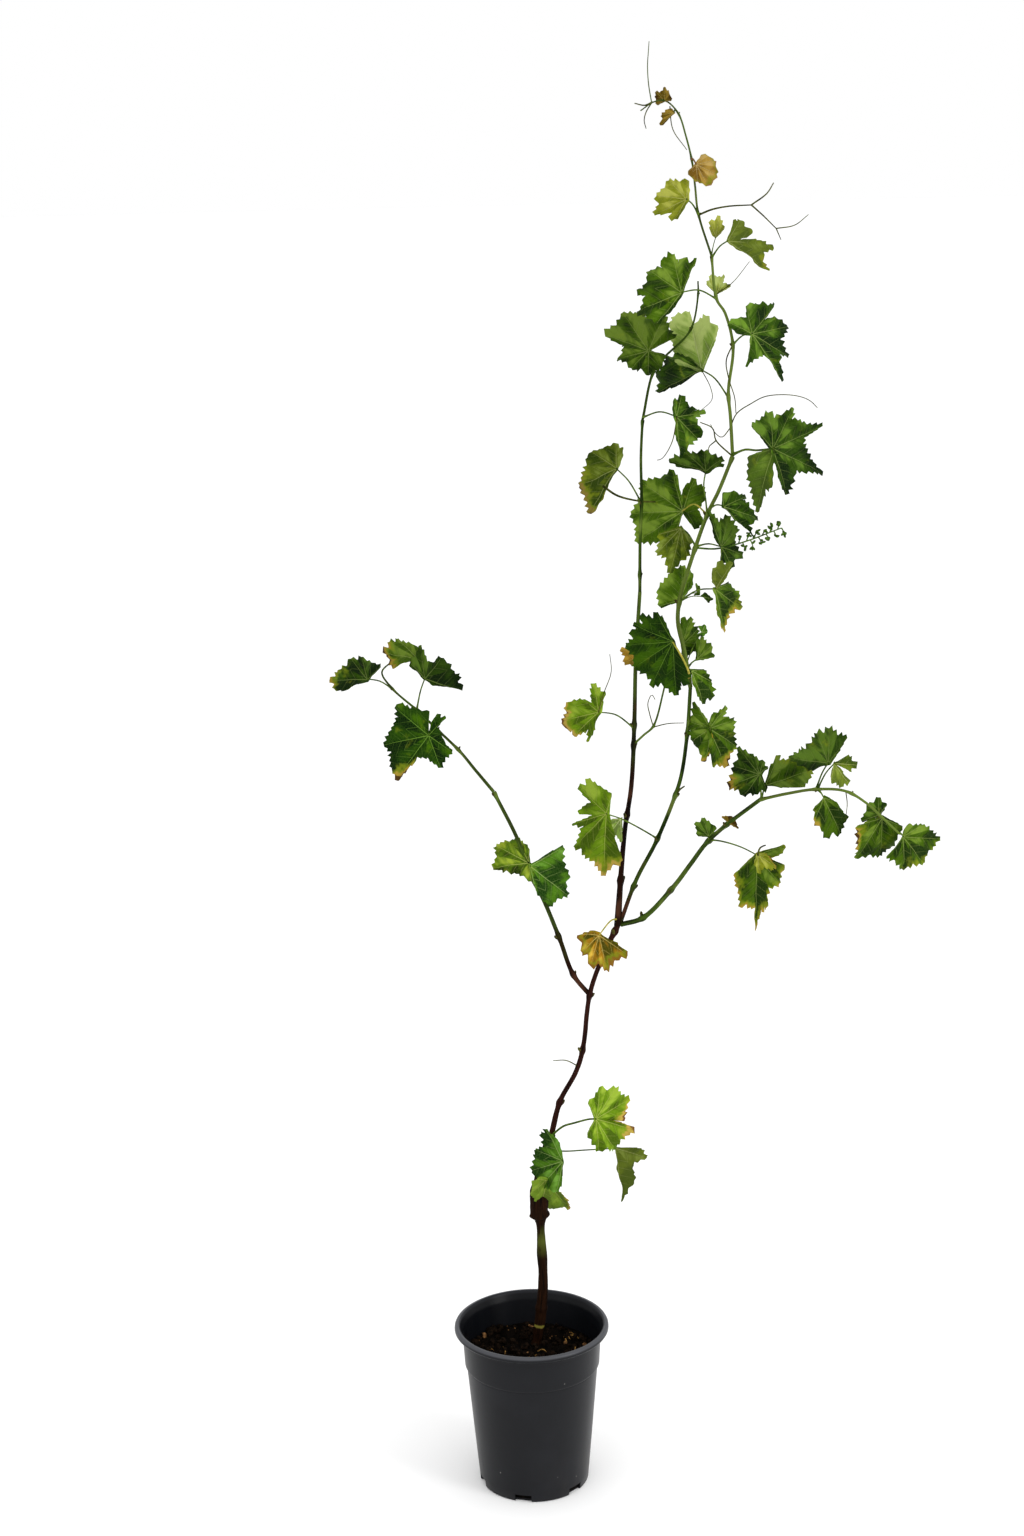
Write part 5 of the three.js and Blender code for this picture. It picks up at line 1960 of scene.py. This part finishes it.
@dataclass
class Soil:
    """The potting soil: a lumpy top with crumbs and fibres on it."""

    level: float = 150
    brim: float = 72.4
    foot: float = 58
    floor: float = 3.4
    columns: int = 120
    rows: int = 46
    top_rows: int = 40
    lump_height: float = 5.2
    lump_length: float = 17
    trunk: tuple[float, float] = (5, 22)
    trunk_reach: float = 16
    edge_start: float = 60
    edge_reach: float = 12
    crumbs: int = 460
    crumb_reach: float = 69
    crumb_least: float = 0.8
    crumb_range: float = 4.2
    crumb_lift: float = 0.35
    dark_share: float = 0.95
    fibres: int = 28
    fibre_reach: float = 64
    heaps: tuple[Point, ...] = (
        (-38, 4, 13), (-8, -26, 20), (34, -10, 16), (40, 32, 9), (2, -4, 12), (-14, -50, 14),
    )

    def height(self, spot: Vector) -> float:
        """Works out the height of the soil's top at a spot.

        Args:
            spot: The spot, from the pot's middle, in millimetres.

        Returns:
            The height, in millimetres.
        """
        wide = Vector((spot.x / self.lump_length, spot.y / self.lump_length, 3))
        lumps = noise.fractal(wide, 0.9, 2.2, 5) * self.lump_height
        trunk = max(0.0, 1 - (spot - Vector(self.trunk)).length / self.trunk_reach)
        edge = max(0.0, (spot.length - self.edge_start) / self.edge_reach)
        return self.level + lumps * (1 - 0.7 * trunk) * (1 - 0.6 * edge) - 1.0

    def build(self) -> None:
        """Builds the plug of soil, its crumbs and its fibres."""
        mesh = bmesh.new()
        patch = Patch(mesh, self.columns, self.rows)

        def place(column: int, row: int) -> Vector:
            """Places a corner of the plug of soil.

            Args:
                column: The corner's column.
                row: The corner's row.

            Returns:
                The corner's place, in metres.
            """
            angle = 2 * math.pi * column / self.columns
            ahead = Vector((math.cos(angle), math.sin(angle)))
            if row <= self.top_rows:
                spot = ahead * self.brim * row / self.top_rows
                return Vector((spot.x, spot.y, self.height(spot))) * MM
            down = (row - self.top_rows) / (self.rows - 1 - self.top_rows)
            if row == self.rows:
                return Vector((0, 0, self.floor)) * MM
            reach = self.brim + (self.foot - self.brim) * down
            top = self.height(ahead * self.brim)
            return Vector((*(ahead * reach), top + (self.floor - top) * down)) * MM

        patch.move(place)
        close_up(mesh, 70)
        keep(mesh, "soil_bed", [SoilFinish().dress()], Slot.SOIL, ["soil"])
        self._crumbs()
        self._fibres()

    def _crumbs(self) -> None:
        """Scatters crumbs of soil and bark on the top."""
        deal = random.Random(SEED * 5)
        mesh = bmesh.new()
        for _ in range(self.crumbs):
            angle = deal.uniform(0, 2 * math.pi)
            way = Vector((math.cos(angle), math.sin(angle)))
            spot = way * self.crumb_reach * math.sqrt(deal.random())
            size = self.crumb_least + self.crumb_range * deal.random() ** 2.2
            place = Vector((*spot, self.height(spot) + size * self.crumb_lift)) * MM
            stretch = [size * deal.uniform(0.6, 1.3) * MM for _ in range(3)]
            turn = Matrix.Rotation(deal.uniform(0, 6), 4, Vector((deal.random(), deal.random(), 1)))
            shape = Matrix.Translation(place) @ turn @ Matrix.Diagonal((*stretch, 1))
            made = bmesh.ops.create_icosphere(mesh, subdivisions=1, radius=1, matrix=shape)
            kind = 0 if deal.random() < self.dark_share else 1
            for vert in made["verts"]:
                vert.co += Vector([deal.uniform(-0.2, 0.2) * size * MM for _ in range(3)])
                for face in vert.link_faces:
                    face.material_index = kind
        bmesh.ops.recalc_face_normals(mesh, faces=mesh.faces)
        finishes = (
            PlainGrowth("soil_crumbs_dark", "080503", "1b120b", 0.9, 300),
            PlainGrowth("bark_crumbs", "3a2416", "7a5836", 0.85, 300),
        )
        keep(mesh, "soil_crumbs", [finish.dress() for finish in finishes], Slot.SOIL)

    def _fibres(self) -> None:
        """Lays bent golden fibres on the top, thickest left and right of the stem."""
        deal = random.Random(SEED * 6)
        mesh = bmesh.new()
        for order in range(self.fibres):
            x, y, spread = self.heaps[order % len(self.heaps)]
            spot = Vector((deal.gauss(x, spread * 0.6), deal.gauss(y, spread * 0.6)))
            if spot.length > self.fibre_reach:
                spot *= self.fibre_reach / spot.length
            angle = deal.uniform(0, 2 * math.pi)
            ahead = Vector((math.cos(angle), math.sin(angle))) * deal.uniform(2.5, 8)
            aside = Vector((-ahead.y, ahead.x)) * deal.uniform(-0.35, 0.35)
            lift = deal.uniform(0.6, 4.2)
            points = []
            for share, rise in ((-1, 0.2), (-0.35, lift), (0.4, lift * 0.8), (1, 0.3)):
                place = spot + ahead * share + aside * (1 - share**2)
                points.append((place.x, place.y, self.height(place) + rise))
            size = deal.uniform(0.35, 0.8) * MM
            grow_tube(mesh, Bend(points), lambda share, angle: size * (1.1 - share * 0.5), 6, 0.0016)
        close_up(mesh)
        finish = PlainGrowth("golden_fibres", "4a3218", "9c7840", 0.8, 220)
        keep(mesh, "soil_fibres", [finish.dress()], Slot.SOIL)


# Studio


@dataclass
class Studio:
    """The pale floor, the soft light and the camera."""

    floor_radius: float = 60
    floor_sides: int = 96
    key_energy: float = 0.7
    key_angle: float = 110
    key_turn: tuple[float, float] = (40, 14)
    panel_size: tuple[float, float] = (0.7, 2.2)
    panel_place: Point = (1.9, -1.3, 1.3)
    panel_aim: Point = (0, 0, 0.7)
    left_power: float = 3
    right_power: float = 24
    camera_place: Point = (-0.0087, -2.5, 1.445)
    tilt: float = 75.9
    roll: float = -1.2
    lens: float = 58.008

    def build(self) -> None:
        """Builds the floor, the light and the camera."""
        self._floor()
        self._world()
        self._lights()
        self._camera()

    def _floor(self) -> None:
        """Lays the floor."""
        mesh = bmesh.new()
        bmesh.ops.create_circle(
            mesh, cap_ends=True, segments=self.floor_sides, radius=self.floor_radius
        )
        floor = as_object(mesh, "floor")
        weave = Weave("pale_floor")
        soft = weave.noise(weave.place(), 3, 2)
        colour = weave.mix(soft, "f8f8f8", "fafafa")
        floor.data.materials.append(weave.finish(colour, 0.9, plain={"Specular IOR Level": 0.1}))

    def _world(self) -> None:
        """Lights the scene with an even pale sky."""
        world = bpy.data.worlds.new("pale_sky")
        bpy.context.scene.world = world
        world.use_nodes = True
        sky = world.node_tree.nodes["Background"]
        sky.inputs["Color"].default_value = (1, 1, 1, 1)
        sky.inputs["Strength"].default_value = 1.0

    def _lights(self) -> None:
        """Adds a soft key light and two large panels."""
        key = bpy.data.lights.new("key", "SUN")
        key.energy = self.key_energy
        key.angle = math.radians(self.key_angle)
        tip, turn = self.key_turn
        link("key", key).rotation_euler = (math.radians(tip), 0, math.radians(turn))
        across, back, height = self.panel_place
        panels = (("panel_left", -1, self.left_power), ("panel_right", 1, self.right_power))
        for name, side, power in panels:
            light = bpy.data.lights.new(name, "AREA")
            light.shape = "RECTANGLE"
            light.size, light.size_y = self.panel_size
            light.energy = power
            panel = link(name, light)
            panel.location = (side * across, back, height)
            aim = Vector(self.panel_aim) - panel.location
            panel.rotation_euler = aim.to_track_quat("-Z", "Y").to_euler()

    def _camera(self) -> None:
        """Sets the camera at the viewer's place."""
        data = bpy.data.cameras.new("camera")
        data.lens = self.lens
        camera = link("camera", data)
        turn = Matrix.Rotation(math.radians(self.tilt), 4, "X")
        turn = turn @ Matrix.Rotation(math.radians(self.roll), 4, "Z")
        camera.matrix_world = Matrix.Translation(self.camera_place) @ turn
        bpy.context.scene.camera = camera
        bpy.context.scene.view_settings.view_transform = "Standard"


def main() -> None:
    """Builds the plant, its pot and the studio round the fixed frame."""
    logging.basicConfig(level=logging.INFO, format="%(message)s")
    Studio().build()
    Pot().build()
    Soil().build()
    stems = Stems()
    stems.build()
    Foliage(stems).build()
    Tendrils().build()
    FlowerSpray().build()
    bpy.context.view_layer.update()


if __name__ == "__main__":
    main()
